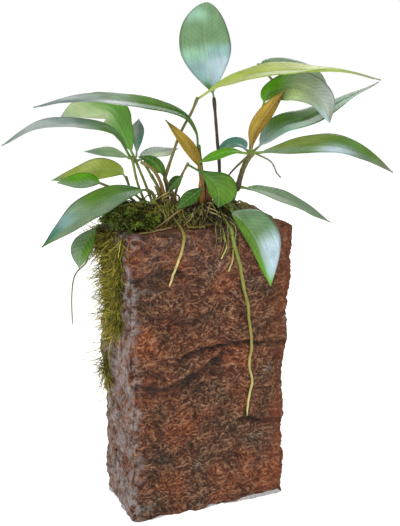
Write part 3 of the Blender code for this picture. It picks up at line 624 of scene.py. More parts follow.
def hewn(point):
    """Where a point of the plain block goes on the rough stone."""
    half = STONE_SIZE / 2
    height = point.z / STONE_SIZE.z
    moved = point.copy()
    bed = sum(depth * math.exp(-((point.z - z) / spread) ** 2) for z, depth, spread in STONE_BEDS)
    foot = max(0.0, 1 - point.z / STONE_FOOT[0]) * STONE_FOOT[1]
    on_side = [abs(point[axis]) > half[axis] - 0.01 for axis in (0, 1)]
    on_top = height > 0.999
    wear = STONE_EDGE_WEAR * (sum(on_side) + on_top - 1)
    for axis in (0, 1):
        if on_side[axis]:
            chip = foot * max(0.0, noise.noise(point / 16 + Vector((7, axis, 0))) + 0.1)
            share = 1.0 if axis == 0 else 0.4
            outwards = ripple(point, axis * 5.0) - bed * share - wear - chip
            moved[axis] += outwards * math.copysign(1, point[axis])
    moved.x -= STONE_LEAN * (1 - height) * (point.x / STONE_SIZE.x + 0.5)
    if on_top:
        place, spread, knob = STONE_KNOB
        moved.z += 0.5 * ripple(point, 3.0) - wear
        moved.z += knob * math.exp(-((point - place).length / spread) ** 2)
    return moved


def fibres(point):
    """Height from -1 to 1 of the stone's matted fibrous ridges at a point."""
    swirl = 5.0 * Vector([noise.noise(point / 10.0 + Vector((0, 0, 20.0 * axis))) for axis in range(3)])
    rise = -1.0
    for turn, seed in STONE_GRAIN:
        along = (point + swirl) @ turn
        spread = Vector((along.x / 3.2, along.y / 3.2, along.z / 15.0))
        rise = max(rise, 1 - 3.4 * abs(noise.noise(spread + seed)))
    return max(-1.0, rise)


def ledges(point):
    """How deep the front's broken ledges cut in at a point, in mm."""
    if point.y > -STONE_SIZE.y / 2 + 0.01:
        return 0.0
    cut = 0.0
    place = Vector((point.x, point.z + 2.0 * noise.noise(point / 9)))
    for line, depth, spread in STONE_LEDGES:
        for a, b in zip(line, line[1:]):
            near, share = intersect_point_line(place, Vector(a), Vector(b))
            share = max(0.0, min(1.0, share))
            near = Vector(a).lerp(Vector(b), share)
            away = (place - near).length
            below = spread if place.y < near.y else spread * 0.3
            cut = max(cut, depth * math.exp(-(away / below) ** 2))
    return cut


def rough_stone(settings):
    """The block with worn round edges, fibrous ridges and lumps, and how high each point stands."""
    half = STONE_SIZE / 2
    bm = sliced_block(STONE_SIZE, Vector((0, 0, half.z)), STONE_CELLS)
    bmesh.ops.subdivide_edges(bm, edges=bm.edges[:], cuts=settings.cuts, use_grid_fill=True)
    relief = bm.verts.layers.float.new("relief")
    for vert in bm.verts:
        point = vert.co.copy()
        radius = settings.rounding / MM * (1 + 0.9 * noise.noise(point / 9))
        core = Vector((max(radius - half.x, min(half.x - radius, point.x)),
                       max(radius - half.y, min(half.y - radius, point.y)),
                       min(STONE_SIZE.z - radius, point.z)))
        outwards = point - core
        worn = Vector()
        if outwards.length > 1e-6:
            outwards.normalize()
            worn = core + outwards * radius - point
        rise = fibres(point)
        cut = ledges(point)
        lump = noise.noise(point / 11 + Vector((3, 8, 1))) + 0.6 * noise.noise(point / 5 + Vector((9, 2, 4)))
        height = settings.fibre / MM * rise + settings.lump / MM * lump - cut
        place = hewn(point) + worn + outwards * (height - 0.5)
        if point.z < 0.01:
            place.z = 0.0
        vert.co = place
        vert[relief] = 0.35 * rise + 0.35 * lump - 0.5 * cut
    return bm


def stone_material(settings):
    """Hewn porous brown stone: matt, with rusty zones, painted shade in its hollows and between its strokes,
    pale matted strokes on its ridges that are their own tan with a painted highlight, and a painted cool side
    light on its left face.
    """
    made, tree, shader = new_material("hewn porous stone", roughness=0.8, specular=0.35)
    place = add_node(tree, "TexCoord").outputs["Object"]
    relief = add_node(tree, "Attribute", attribute_name="relief").outputs["Fac"]
    warp = add_node(tree, "TexNoise", {"Vector": place, "Scale": per_mm(13), "Detail": 2.0})
    shift = add_node(tree, "VectorMath", {0: warp.outputs["Color"], 1: (0.5, 0.5, 0.5)}, operation="SUBTRACT")
    push = add_node(tree, "VectorMath", {0: shift, "Scale": 9 * MM}, operation="SCALE")
    swirled = add_node(tree, "VectorMath", {0: place, 1: push}, operation="ADD")
    strokes = None
    for index, tilt in enumerate(STROKE_TILTS):
        turned = add_node(tree, "Mapping", {0: swirled, "Rotation": (tilt, tilt, 0)})
        drawn = add_node(tree, "Mapping", {0: turned, "Location": (index * 7, 0, 0),
                                           "Scale": tuple(per_mm(size) for size in STROKE_SIZE)})
        stroke = add_node(tree, "TexNoise", {"Vector": drawn, "Scale": 1.0, "Detail": 2.0,
                                             "Roughness": 0.5})
        strokes = add_node(tree, "Math", {0: strokes, 1: stroke}, operation="MAXIMUM") if strokes else stroke
    grey = add_node(tree, "TexNoise", {"Vector": place, "Scale": per_mm(4), "Detail": 4.0})
    axes = add_node(tree, "SeparateXYZ", {0: place})
    ragged = add_node(tree, "Math", {0: shift, 1: 0.03}, operation="MULTIPLY")
    edge = add_node(tree, "Math", {0: axes, 1: ragged}, operation="ADD")
    # Each mask follows a value from its first limit to its second, and runs between the last two.
    masks = {}
    for name, value, start, end, low, high in (
            ("thread", strokes, 0.57, 0.72, 0.0, 1.0),
            # gap: painted shade between the strokes.
            ("gap", strokes, 0.58, 0.48, 0.0, 0.7),
            ("height", relief, -0.65, 0.2, 0.0, 1.0),
            # hollow: painted shade in the low places.
            ("hollow", relief, 0.2, -0.65, 0.0, 1.0),
            # crest: where the high threads take a painted highlight.
            ("crest", relief, -0.3, 0.4, 0.15, 0.75),
            # left face: where a painted cool side light falls; upper edge: a faint grey along the top.
            ("left face", edge, -0.04, -0.0445, 0.0, 1.0),
            ("upper edge", axes.outputs[2], 0.118, 0.146, 0.0, 0.1),
            ("right edge", edge, 0.03, 0.043, 0.0, 0.4),
            ("patch", grey, 0.38, 0.62, 0.0, 1.0)):
        masks[name] = add_node(tree, "MapRange", {"Value": value, "From Min": start, "From Max": end,
                                                  "To Min": low, "To Max": high})
    # The high threads, which take a painted highlight.
    lit_ridge_threads = add_node(tree, "Math", {0: masks["crest"], 1: masks["thread"]}, operation="MULTIPLY")
    # Painted cool side light on the left face and a faint grey along the upper edge, in patches on high
    # places.
    sidelit_face_and_rim = add_node(tree, "Math", {0: masks["left face"], 1: masks["upper edge"]}, operation="MAXIMUM")
    for name in ("patch", "height"):
        sidelit_face_and_rim = add_node(tree, "Math", {0: sidelit_face_and_rim, 1: masks[name]}, operation="MULTIPLY")
    zones = add_node(tree, "TexNoise", {"Vector": place, "Scale": per_mm(26), "Detail": 4.0,
                                        "Roughness": 0.6})
    colour = add_node(tree, "ValToRGB", {"Fac": zones}, ((0.26, settings.grey_and_sidelight), (0.38, settings.dusky),
                                                         (0.5, settings.body), (0.64, settings.warm)))
    # Painted shade goes into the gaps and hollows, a painted highlight onto the high threads, the rusty tone
    # onto the right edge and a painted cool side light onto the left face.
    for share, tone in ((masks["gap"], settings.hollow_shade), (masks["hollow"], settings.hollow_shade),
                        (lit_ridge_threads, settings.ridge_tan_and_highlight), (masks["right edge"], settings.warm),
                        (sidelit_face_and_rim, settings.grey_and_sidelight)):
        colour = add_node(tree, "Mix", {0: share, 6: colour, 7: tone}, data_type="RGBA")
    grit, speck = mottle(tree, place, per_mm(1.0), 3.0, 0.7, 1.3)
    tinted = add_node(tree, "VectorMath", {0: colour, "Scale": speck}, operation="SCALE")
    dress(tree, shader, tinted, (strokes, 0.9, 1.2), (grit, 0.6, 0.4))
    return made


class ANUBIAS_OT_stone(bpy.types.Operator):
    """Build the upright block of rough stone"""
    bl_idname = "anubias.stone"
    bl_label = "Stone"

    def execute(self, context):
        settings = context.scene.anubias_stone
        mesh = finish_mesh("fine_stone", rough_stone(settings))
        add_piece("fine_stone", mesh, "stone", "stone", stone_material(settings))
        return {"FINISHED"}


def stone_skin():
    """The finished stone as a surface that rays can find, in mm."""
    mesh = bpy.data.objects["fine_stone"].data
    return BVHTree.FromPolygons([v.co / MM for v in mesh.vertices], [p.vertices for p in mesh.polygons])


def touch(skin, start, direction, clearance, reach):
    """The place at a clearance above the highest part of the skin within reach of the ray."""
    start = Vector(start)
    direction = Vector(direction)
    across = direction.orthogonal().normalized() * reach
    probes = [start + Matrix.Rotation(k * math.tau / 8, 3, direction) @ across for k in range(8)]
    hits = [skin.ray_cast(probe, direction)[3] for probe in (start, *probes)]
    hits = [hit for hit in hits if hit]
    return start + direction * (min(hits) - clearance) if hits else None


# --- Leaves ------------------------------------------------------------------------------------------
def half_width(leaf, t, u):
    """The width of the blade's half on the side of u, at a share t of its length."""
    t = max(0.0, (t - BLADE_NECK) / (1 - BLADE_NECK))
    swell = math.sin(math.pi * t ** (math.log(0.5) / math.log(leaf.peak)))
    shape = leaf.full if t < leaf.peak else leaf.point
    share = 1 + leaf.uneven * math.copysign(1, u)
    return max(BLADE_END, leaf.width / 2 * share * max(0.0, swell) ** shape)


def blade_tone(leaf, t, u):
    """The colour of a blade at a share t of its length and u of its half width."""
    steps = len(leaf.tones) - 1
    k = min(int(t * steps), steps - 1)
    share = t * steps - k
    share = share * share * (3 - 2 * share)
    turn = max(0.0, min(1.0, 0.5 + u * 1.4))
    pair = []
    for half in (0, 1):
        a, b = (Vector(hex_colour(leaf.tones[i][half])[:3]) for i in (k, k + 1))
        pair.append(a.lerp(b, share))
    return pair[0].lerp(pair[1], turn)


def blade(leaf, settings, seed):
    """A closed thin blade: an upper and a lower sheet bent along the midrib, joined at the margin."""
    rows, columns = settings.along, settings.across
    route = smooth_route(leaf.route, rows)
    length = sum((b - a).length for a, b in zip(route, route[1:]))
    face_base, face_tip = (Vector(f) for f in leaf.face)
    fold = math.radians(leaf.fold)
    frames = []
    for row in range(rows + 1):
        ahead = route[min(row + 1, rows)] - route[max(row - 1, 0)]
        side = ahead.cross(face_base.lerp(face_tip, row / rows)).normalized()
        frames.append((side, side.cross(ahead).normalized()))
    thickness = settings.thickness / MM
    wave = settings.wave / MM
    bm = bmesh.new()
    tone = bm.verts.layers.float_color.new("tone")
    place = bm.verts.layers.float_vector.new("place")
    done = 0
    for shell in (1, -1):
        bmesh.ops.create_grid(bm, x_segments=columns, y_segments=rows, size=1.0)
        bm.verts.ensure_lookup_table()
        for vert in bm.verts[done:]:
            u = vert.co.x
            t = (vert.co.y + 1) / 2
            row = round(t * rows)
            side, up = frames[row]
            reach = half_width(leaf, t, u)
            calm = min(1.0, reach / 5)
            turn = math.copysign(1, u) * 1.3 + seed
            margin = wave * calm * u * u * noise.noise(Vector((t * length / 14, turn, seed)))
            along = t * length - abs(u) * reach * VEIN_SLANT
            veins = 0.08 * calm * math.sin(along * math.tau / (settings.vein / MM)) * (1 - u * u)
            crease = 0.35 * calm * math.exp(-(u * reach / 0.7) ** 2)
            lift = reach * abs(u) * math.sin(fold) + margin + veins - crease
            half = thickness / 2 * (1 - (1 - BLADE_EDGE) * u * u) * shell
            vert.co = route[row] + side * u * reach * math.cos(fold) + up * (lift + half)
            vert[tone] = (*blade_tone(leaf, t, u), 1.0)
            vert[place] = Vector((u * reach, t * length, u * shell))
        if shell == -1:
            lower = [face for face in bm.faces if face.verts[0].index >= done]
            bmesh.ops.reverse_faces(bm, faces=lower)
            for face in lower:
                face.material_index = 1
        done = len(bm.verts)
    bmesh.ops.bridge_loops(bm, edges=[e for e in bm.edges if e.is_boundary])
    bmesh.ops.recalc_face_normals(bm, faces=bm.faces)
    return bm, route, frames


def leaf_material(name, settings, under, streak, roughness):
    """A waxy leathery leaf blade: toned along its length, with fine side veins and a paler midrib.

    Wax gives it a soft sheen on top; its underside is duller.
    """
    made, tree, shader = new_material(name, roughness, coat=0.0 if under else 0.06, coat_roughness=0.2,
                                      specular=0.18)
    tone = add_node(tree, "Attribute", attribute_name="tone")
    place = add_node(tree, "Attribute", attribute_name="place").outputs["Vector"]
    parts = add_node(tree, "SeparateXYZ", {0: place})
    off = add_node(tree, "Math", {0: parts}, operation="ABSOLUTE")
    rim = add_node(tree, "Math", {0: parts.outputs[2]}, operation="ABSOLUTE")
    stretched = add_node(tree, "VectorMath", {0: place, 1: (1.1, 0.06, 0.0)}, operation="MULTIPLY")
    streaks, shade = mottle(tree, stretched, 1.0, 3.0, 1 - streak, 1 + streak)
    blotch = mottle(tree, add_node(tree, "TexCoord").outputs["Object"], per_mm(7), 3.0, 0.86, 1.14)[1]
    both = add_node(tree, "Math", {0: shade, 1: blotch}, operation="MULTIPLY")
    toned = add_node(tree, "VectorMath", {0: tone, "Scale": both}, operation="SCALE")
    slant = add_node(tree, "Math", {0: off, 1: -VEIN_SLANT, 2: parts.outputs[1]}, operation="MULTIPLY_ADD")
    turns = add_node(tree, "Math", {0: slant, 1: math.tau / (settings.vein / MM)}, operation="MULTIPLY")
    veins = add_node(tree, "Math", {0: turns}, operation="SINE")
    vein = add_node(tree, "MapRange", {"Value": veins, "From Min": 0.55, "From Max": 1.0, "To Max": 0.08})
    veined = add_node(tree, "Mix", {0: vein, 6: toned, 7: hex_colour(PALE_VEIN_AND_BACKLIGHT)}, data_type="RGBA")
    rib = add_node(tree, "MapRange", {"Value": off, "From Min": 0.5, "From Max": 0.1, "To Max": 0.16})
    ribbed = add_node(tree, "Mix", {0: rib, 6: veined, 7: hex_colour(PALE_VEIN_AND_BACKLIGHT)}, data_type="RGBA")
    edge = add_node(tree, "MapRange", {"Value": rim, "From Min": 0.86, "From Max": 1.0, "To Min": 1.0,
                                       "To Max": 0.6})
    edged = add_node(tree, "VectorMath", {0: ribbed, "Scale": edge}, operation="SCALE")
    dull = add_node(tree, "Mix", {0: 0.12 if under else 0.0, 6: edged, 7: hex_colour(PALE_SAGE)},
                    data_type="RGBA")
    height = add_node(tree, "Math", {0: veins, 1: 0.3, 2: streaks}, operation="MULTIPLY_ADD")
    dress(tree, shader, dull, (height, 0.5, 0.25))
    return made


class ANUBIAS_OT_leaves(bpy.types.Operator):
    """Build the leaf blades, each with its midrib"""
    bl_idname = "anubias.leaves"
    bl_label = "Leaves"

    def execute(self, context):
        settings = context.scene.anubias_leaves
        finishes = {}
        for kind, streak, roughness in (("green", 0.16, 0.38), ("young", 0.12, 0.42), ("golden", 0.32, 0.5)):
            finishes[kind] = (leaf_material(f"waxy {kind} leaf, upper side", settings, False, streak,
                                            roughness),
                              leaf_material(f"waxy {kind} leaf, underside", settings, True, streak,
                                            roughness + 0.15))
        for seed, leaf in enumerate(LEAVES):
            bm, route, frames = blade(leaf, settings, seed * 7.3)
            ribs = np.array(route[:-2])
            drop = np.array([frames[k][1] for k in range(len(ribs))]) * 0.45
            taper = np.linspace(settings.midrib / MM, 0.15, len(ribs))
            fit = np.minimum(taper, [0.5 + 0.12 * half_width(leaf, k / len(route), 1) for k in
                                     range(len(ribs))])
            tones = blend_tones([pair[0] for pair in leaf.tones], len(ribs)) * 1.15
            rib = tube_mesh("rib", (ribs - drop)[None], fit[None], tones[None], 8)
            rib.transform(Matrix.Scale(1 / MM, 4))
            rib.polygons.foreach_set("material_index", [1] * len(rib.polygons))
            bm.from_mesh(rib)
            bpy.data.meshes.remove(rib)
            mesh = finish_mesh("fine_leaf_" + leaf.name, bm)
            add_piece("fine_leaf_" + leaf.name, mesh, "leaf_" + leaf.name, "leaf_" + leaf.kind,
                      *finishes[leaf.kind])
        return {"FINISHED"}


# --- Stems, stalks and the rhizome -----------------------------------------------------------------
def skin_material(name, roughness, grain, along, contrast, relief):
    """A plant's skin over a tone: grain is the width of its marks and along their length, in mm."""
    made, tree, shader = new_material(name, roughness, coat=0.1, coat_roughness=0.4, specular=0.4)
    tone = add_node(tree, "Attribute", attribute_name="tone")
    place = add_node(tree, "TexCoord").outputs["Object"]
    spread = add_node(tree, "Mapping", {0: place, "Scale": (per_mm(grain), per_mm(grain), per_mm(along))})
    marks, shade = mottle(tree, spread, 1.0, 4.0, 1 - contrast, 1 + contrast)
    toned = add_node(tree, "VectorMath", {0: tone, "Scale": shade}, operation="SCALE")
    dress(tree, shader, toned, (marks, 0.7, relief))
    return made


def tube_arrays(tube, rings, shape=1.0):
    """The route, radii and tones of one tube of the tables; shape changes its radii ring by ring."""
    route = np.array(smooth_route(tube.route, rings - 1))
    return route, np.linspace(*tube.radii, rings) * shape, blend_tones(tube.tones, rings)


def add_tubes(name, tubes, sides, node, slot, finish):
    """A piece made of one or more tubes, each given as its route, radii and tones."""
    arrays = (np.stack(group) for group in zip(*tubes))
    return add_piece(name, tube_mesh(name, *arrays, sides), node, slot, finish)


class ANUBIAS_OT_stems(bpy.types.Operator):
    """Build the rhizome, the stems and the leaf stalks"""
    bl_idname = "anubias.stems"
    bl_label = "Stems and rhizome"

    def execute(self, context):
        settings = context.scene.anubias_stems
        rings = settings.rings
        sides = settings.sides
        bark = skin_material("ringed woody rhizome bark", 0.7, 1.4, 1.0, 0.55, 0.5)
        stalk_skin = skin_material("fibrous leaf stalk skin", 0.45, 0.5, 9.0, 0.3, 0.15)
        papery = skin_material("papery brown leaf sheath", 0.65, 0.5, 6.0, 0.4, 0.25)

        share = np.linspace(0, 1, rings)
        foot = 1 + 0.45 * np.exp(-share / 0.12)
        for stem in STEMS:
            knee = 1 + 0.3 * np.exp(-((share - 0.95) / 0.05) ** 2)
            wobble = 1 + 0.05 * np.sin(share * 37 + len(stem.name))
            parts = tube_arrays(stem, rings, foot * knee * wobble)
            slot, skin = ("bark", bark) if stem.name == WOODY_STEM else ("stalk", stalk_skin)
            add_tubes("fine_" + stem.name, [parts], sides, stem.name, slot, skin)

        count = rings * 3
        turns = np.linspace(0, 12, count)
        scars = 1 + settings.knobs * np.sin(2.3 * turns) + 0.05 * np.sin(9.7 * turns)
        parts = tube_arrays(RHIZOME, count, scars)
        mesh = add_tubes("fine_rhizome", [parts], 24, "rhizome", "bark", bark).data
        bm = bmesh.new()
        bm.from_mesh(mesh)
        bm.normal_update()
        for vert in bm.verts:
            vert.co += vert.normal * 0.6 * MM * noise.noise(vert.co / (2.2 * MM))
        bm.to_mesh(mesh)
        bm.free()

        narrowing = np.sqrt(np.linspace(1, 0, rings))
        sheaths = []
        for route, radius, tones in SHEATHS:
            sheath = Tube("sheath", route, (radius, radius), tones)
            route, radii, tones = tube_arrays(sheath, rings, narrowing)
            sheaths.append((route, np.maximum(radii, 0.12), tones))
        add_tubes("leaf_sheaths", sheaths, 10, None, "bark", papery)

        bulge = np.sin(np.linspace(0.3, math.pi - 0.3, rings))
        bases = []
        for centre, radius, names in KNOTS:
            ends = (centre - Vector((0, 0, 2.5)), centre, centre + Vector((0, 0, 2)))
            knot = Tube("knot", ends, (radius, radius), (OLIVE, GREEN_STALK))
            bases.append(tube_arrays(knot, rings, bulge))
            for leaf in LEAVES:
                if leaf.name in names:
                    neck, ahead = (Vector(p) for p in leaf.route[:2])
                    ends = (centre, neck, neck.lerp(ahead, 0.3))
                    petiole = Tube("petiole", ends, (0.95, 0.3), (GREEN_STALK, GREEN_STALK, leaf.tones[0][0]))
                    bases.append(tube_arrays(petiole, rings))
        add_tubes("leaf_bases", bases, sides, None, "stalk", stalk_skin)
        return {"FINISHED"}


# --- Roots -------------------------------------------------------------------------------------------
def lay_route(root, points, skin):
    """Points of a root laid on the stone's front or top, or left hanging free."""
    if root.face == "air":
        return points
    on_front = root.face == "front"
    ahead = (0, 1, 0) if on_front else (0, 0, -1)
    starts = [(p.x, BEFORE, p.y) if on_front else (p.x, p.y, ABOVE) for p in points]
    return [touch(skin, start, ahead, root.radii[0] * 0.7, ROOT_REACH) for start in starts]


def fringe_route(rng, skin):
    """A fine root that comes over the stone's upper front edge and hangs down the front."""
    x = max(-TOP_REACH.x, min(TOP_REACH.x, rng.choice(FRINGE_X) + rng.normal(0, 3.5)))
    lip = Vector((x, -24.0, rng.uniform(155.5, 157)))
    drop = rng.uniform(3, 13)
    hang = [touch(skin, (x + rng.normal(0, 1.2), BEFORE, 154 - drop * share), (0, 1, 0), 0.2, 1.0)
            for share in (0.4, 1.0)]
    start = Vector((x + rng.normal(0, 5), -3, 161))
    middle = Vector((x + rng.normal(0, 3), -14, rng.uniform(157.5, 161)))
    return smooth_route((start, middle, lip, *hang), TANGLE_STEPS)


def tangle_route(rng, spine, skin):
    """A fine root that springs from the rhizome, arches over and runs out over the stone's top."""
    start = spine[rng.integers(0, len(spine))]
    angle = rng.uniform(math.pi, math.tau) if rng.random() < 0.75 else rng.uniform(0, math.pi)
    reach = rng.uniform(6, 20)
    out = Vector((math.cos(angle) * 0.8 + rng.normal(0, 0.3), math.sin(angle), 0))
    if rng.random() < FRINGE_SHARE:
        return fringe_route(rng, skin)
    knee = start + out * reach * 0.35 + Vector((0, 0, rng.uniform(0.5, 4.5)))
    knee.x += rng.normal(0, 2.0)
    far = start + out * reach + Vector((rng.normal(0, 3.0), 0, 0))
    far.x = max(-TOP_REACH.x - 1, min(TOP_REACH.x, far.x))
    far.y = max(-TOP_REACH.y - 1.5, min(TOP_REACH.y, far.y))
    landing = skin.ray_cast(Vector((far.x, far.y, ABOVE)), Vector((0, 0, -1)))[0]
    middle = knee.lerp(landing, 0.6) + Vector((rng.normal(0, 1.5), rng.normal(0, 1.5), rng.uniform(0, 2)))
    middle.z = max(middle.z, landing.z + 0.4)
    return smooth_route((start, knee, middle, landing + Vector((0, 0, 0.3))), TANGLE_STEPS)


def curl_route(rng):
    """A loose curly root that stands in a loop at the left end of the rhizome."""
    centre = CURLS_CENTRE + Vector((rng.normal(0, 5.5), rng.normal(0, 3), rng.normal(0, 1.5)))
    radius = rng.uniform(2.0, 6.5)
    start = rng.uniform(0, math.tau)
    sweep = rng.uniform(2.5, 5.0)
    lean = rng.normal(0, 0.6)
    route = []
    for k in range(TANGLE_STEPS + 1):
        angle = start + sweep * k / TANGLE_STEPS
        out = Vector((math.cos(angle), 0.6 * math.sin(angle * 0.5 + lean), 0.8 * math.sin(angle)))
        place = centre + out * radius * (1 + 0.2 * math.sin(2.6 * angle + lean))
        place.z = max(156.5, place.z)
        route.append(place)
    return route


class ANUBIAS_OT_roots(bpy.types.Operator):
    """Build the roots on the stone, the free ones and the fine tangle over the rhizome"""
    bl_idname = "anubias.roots"
    bl_label = "Roots"

    def execute(self, context):
        settings = context.scene.anubias_roots
        skin = stone_skin()
        finish = skin_material("smooth fleshy root skin", 0.5, 0.9, 5.0, 0.28, 0.12)
        rings = settings.rings
        share = np.linspace(0, 1, rings)
        heads = []
        for seed, root in enumerate(ROOTS):
            flat = [(*p, 0) if len(p) == 2 else p for p in root.route]
            route = np.array(lay_route(root, smooth_route(flat, rings - 1), skin))
            knots = [1 + 0.18 * noise.noise(Vector((t * 14, seed, 0))) for t in share]
            radii = np.linspace(*root.radii, rings) * knots * np.clip((1.02 - share) / 0.06, 0.25, 1)
            parts = (route, radii, blend_tones(root.tones, rings))
            add_tubes("fine_" + root.name, [parts], 10, root.name, "root", finish)
            if root.face == "front":
                over = [route[0] + step for step in ((1, 21, 8), (0.5, 9, 5.5), (0, 1.5, 3), (0, 0, 0))]
                head = Tube("head", over, (root.radii[0] * 0.7, root.radii[0]), (BARK, OLIVE, root.tones[0]))
                heads.append(tube_arrays(head, rings))
        # Where the roots on the front come over the stone's upper edge from the rhizome.
        add_tubes("root_heads", heads, 10, None, "root", finish)

        rng = np.random.default_rng(TANGLE_SEED)
        spine = smooth_route(RHIZOME.route, 60)
        routes = [np.array(tangle_route(rng, spine, skin)) for _ in range(settings.tangle)]
        routes += [np.array(curl_route(rng)) for _ in range(settings.curls)]
        routes = np.stack(routes)
        count, steps = routes.shape[:2]
        radii = np.linspace(1.25, 0.6, steps)[None] * settings.fine / MM * rng.uniform(0.6, 1.7, (count, 1))
        codes, old_shares, young_shares = zip(*TANGLE_TONES)
        palette = np.array([hex_colour(code)[:3] for code in codes])
        old = palette[rng.choice(len(codes), count, p=old_shares)]
        young = palette[rng.choice(len(codes), count, p=young_shares)]
        # Young roots lie at both ends of the rhizome, the old dark ones over its middle.
        fresh = np.abs(routes[:, 0, 0] - 1) > rng.uniform(6, 16, count)
        picked = np.where(fresh[:, None], young, old)
        tones = picked[:, None, :] * rng.uniform(0.6, 1.15, (count, steps, 1))
        add_tubes("fine_root_tangle", zip(routes, radii, tones), 6, None, "root", finish)
        return {"FINISHED"}


# --- Moss --------------------------------------------------------------------------------------------
def walk(rng, starts, headings, lengths, rings, wander, pull):
    """Routes of strands that set out along their headings, curl, and are pulled along a vector."""
    headings = headings / np.linalg.norm(headings, axis=1, keepdims=True)
    curl = rng.normal(0, wander, starts.shape)
    points = [starts]
    for _ in range(rings - 1):
        headings = headings + curl + rng.normal(0, wander * 0.6, starts.shape) + np.array(pull)
        headings /= np.linalg.norm(headings, axis=1, keepdims=True)
        points.append(points[-1] + headings * lengths[:, None] / (rings - 1))
    return np.stack(points, axis=1)


def strand_tones(rng, group, rings, colours, weights, root_shade):
    """Colours picked by weight for each group of strands, darker at the root, a little different each."""
    palette = np.array([colour[:3] for colour in colours])
    kinds = group.max() + 1
    picked = palette[rng.choice(len(palette), kinds, p=weights)][group][:, None, :]
    tint = rng.uniform(0.45, 1.5, (kinds, 1, 1))[group] * rng.uniform(0.8, 1.2, (len(group), 1, 1))
    return picked * tint * np.linspace(root_shade, 1.15, rings)[None, :, None]


def cushion_strands(rng, count):
    """Where the clump's strands start, which way they set out and to which frond-like tuft they belong."""
    tufts = max(1, count // TUFT)
    out = rng.normal(0, 1, (tufts, 3))
    out[:, 2] = np.abs(out[:, 2])
    out /= np.linalg.norm(out, axis=1, keepdims=True)
    lumps = np.array([1 + 0.3 * noise.noise(Vector(d) * CLUMP_LUMPS) for d in out])
    share = rng.uniform(0.6, 0.85, tufts) * lumps
    feet = np.array(CUSHION_CENTRE) + out * np.array(CUSHION_RADII) * share[:, None]
    feet[:, 2] = np.maximum(feet[:, 2], 155.0)
    axes = out * (1, 1, 0.7) + rng.normal(0, 0.5, (tufts, 3))
    group = rng.integers(0, tufts, count)
    along = rng.uniform(0, 3.5, (count, 1))
    starts = feet[group] + axes[group] * along + rng.normal(0, 0.25, (count, 3))
    return starts, axes[group] + rng.normal(0, 0.45, (count, 3)), group


def curtain_strands(rng, count, skin):
    """Where the hanging moss's strands start on the stone's left face, thickest at the top."""
    middle = sum(CURTAIN_Y) / 2
    starts = []
    while len(starts) < count:
        if rng.random() < HAIR_SHARE:
            (y, z), spread, _ = HAIR_SPOTS[rng.choice(len(HAIR_SPOTS), p=[spot[2] for spot in HAIR_SPOTS])]
            y = min(22.0, y + rng.normal(0, 0.6) * spread[0])
            z = min(153.0, z + rng.normal(0, 0.6) * spread[1])
        else:
            down = rng.random() ** 1.25
            spread = 1 - (1 - CURTAIN_NARROWING) * down
            y = middle + rng.uniform(-0.5, 0.5) * (CURTAIN_Y[1] - CURTAIN_Y[0]) * spread
            z = CURTAIN_Z[0] - 1 + down * (CURTAIN_Z[1] + 12 - CURTAIN_Z[0])
        if noise.noise(Vector((0, y / 3, z / 12))) < -0.08:
            continue
        hit = skin.ray_cast(Vector((BESIDE, y, z)), Vector((1, 0, 0)))[0]
        if hit:
            starts.append((hit.x - rng.uniform(0.1, 2.4) * (1 - 0.5 * down), y, z))
    return np.array(starts)


def moss_material(name):
    """Fine wet moss: soft translucent shoots, so a broad dull gloss and a mottled tone."""
    made, tree, shader = new_material(name, roughness=0.6, specular=0.3)
    tone = add_node(tree, "Attribute", attribute_name="tone")
    cloud, shade = mottle(tree, add_node(tree, "TexCoord").outputs["Object"], per_mm(3), 3.0, 0.6, 1.35)
    toned = add_node(tree, "VectorMath", {0: tone, "Scale": shade}, operation="SCALE")
    dress(tree, shader, toned, (cloud, 0.5, 0.2))
    return made


def moss_core(dark):
    """The dense dark heart of the clump, so that nothing shows through it: painted shade, darker than the
    darkest moss.
    """
    bm = bmesh.new()
    bmesh.ops.create_icosphere(bm, subdivisions=5, radius=1.0)
    tone = bm.verts.layers.float_color.new("tone")
    for vert in bm.verts:
        direction = vert.co.copy()
        lump = 0.72 * (1 + 0.3 * noise.noise(direction * CLUMP_LUMPS)) + 0.12 * noise.noise(direction * 8)
        vert.co = CUSHION_CENTRE + Vector([r * c * lump for r, c in zip(CUSHION_RADII, direction)])
        vert.co.z = max(vert.co.z, 154.5 if abs(vert.co.x) < 44 else 152)
        # Painted shade inside the clump: the dark moss darkened further.
        vert[tone] = (*(c * 0.7 for c in dark[:3]), 1.0)
    return bm


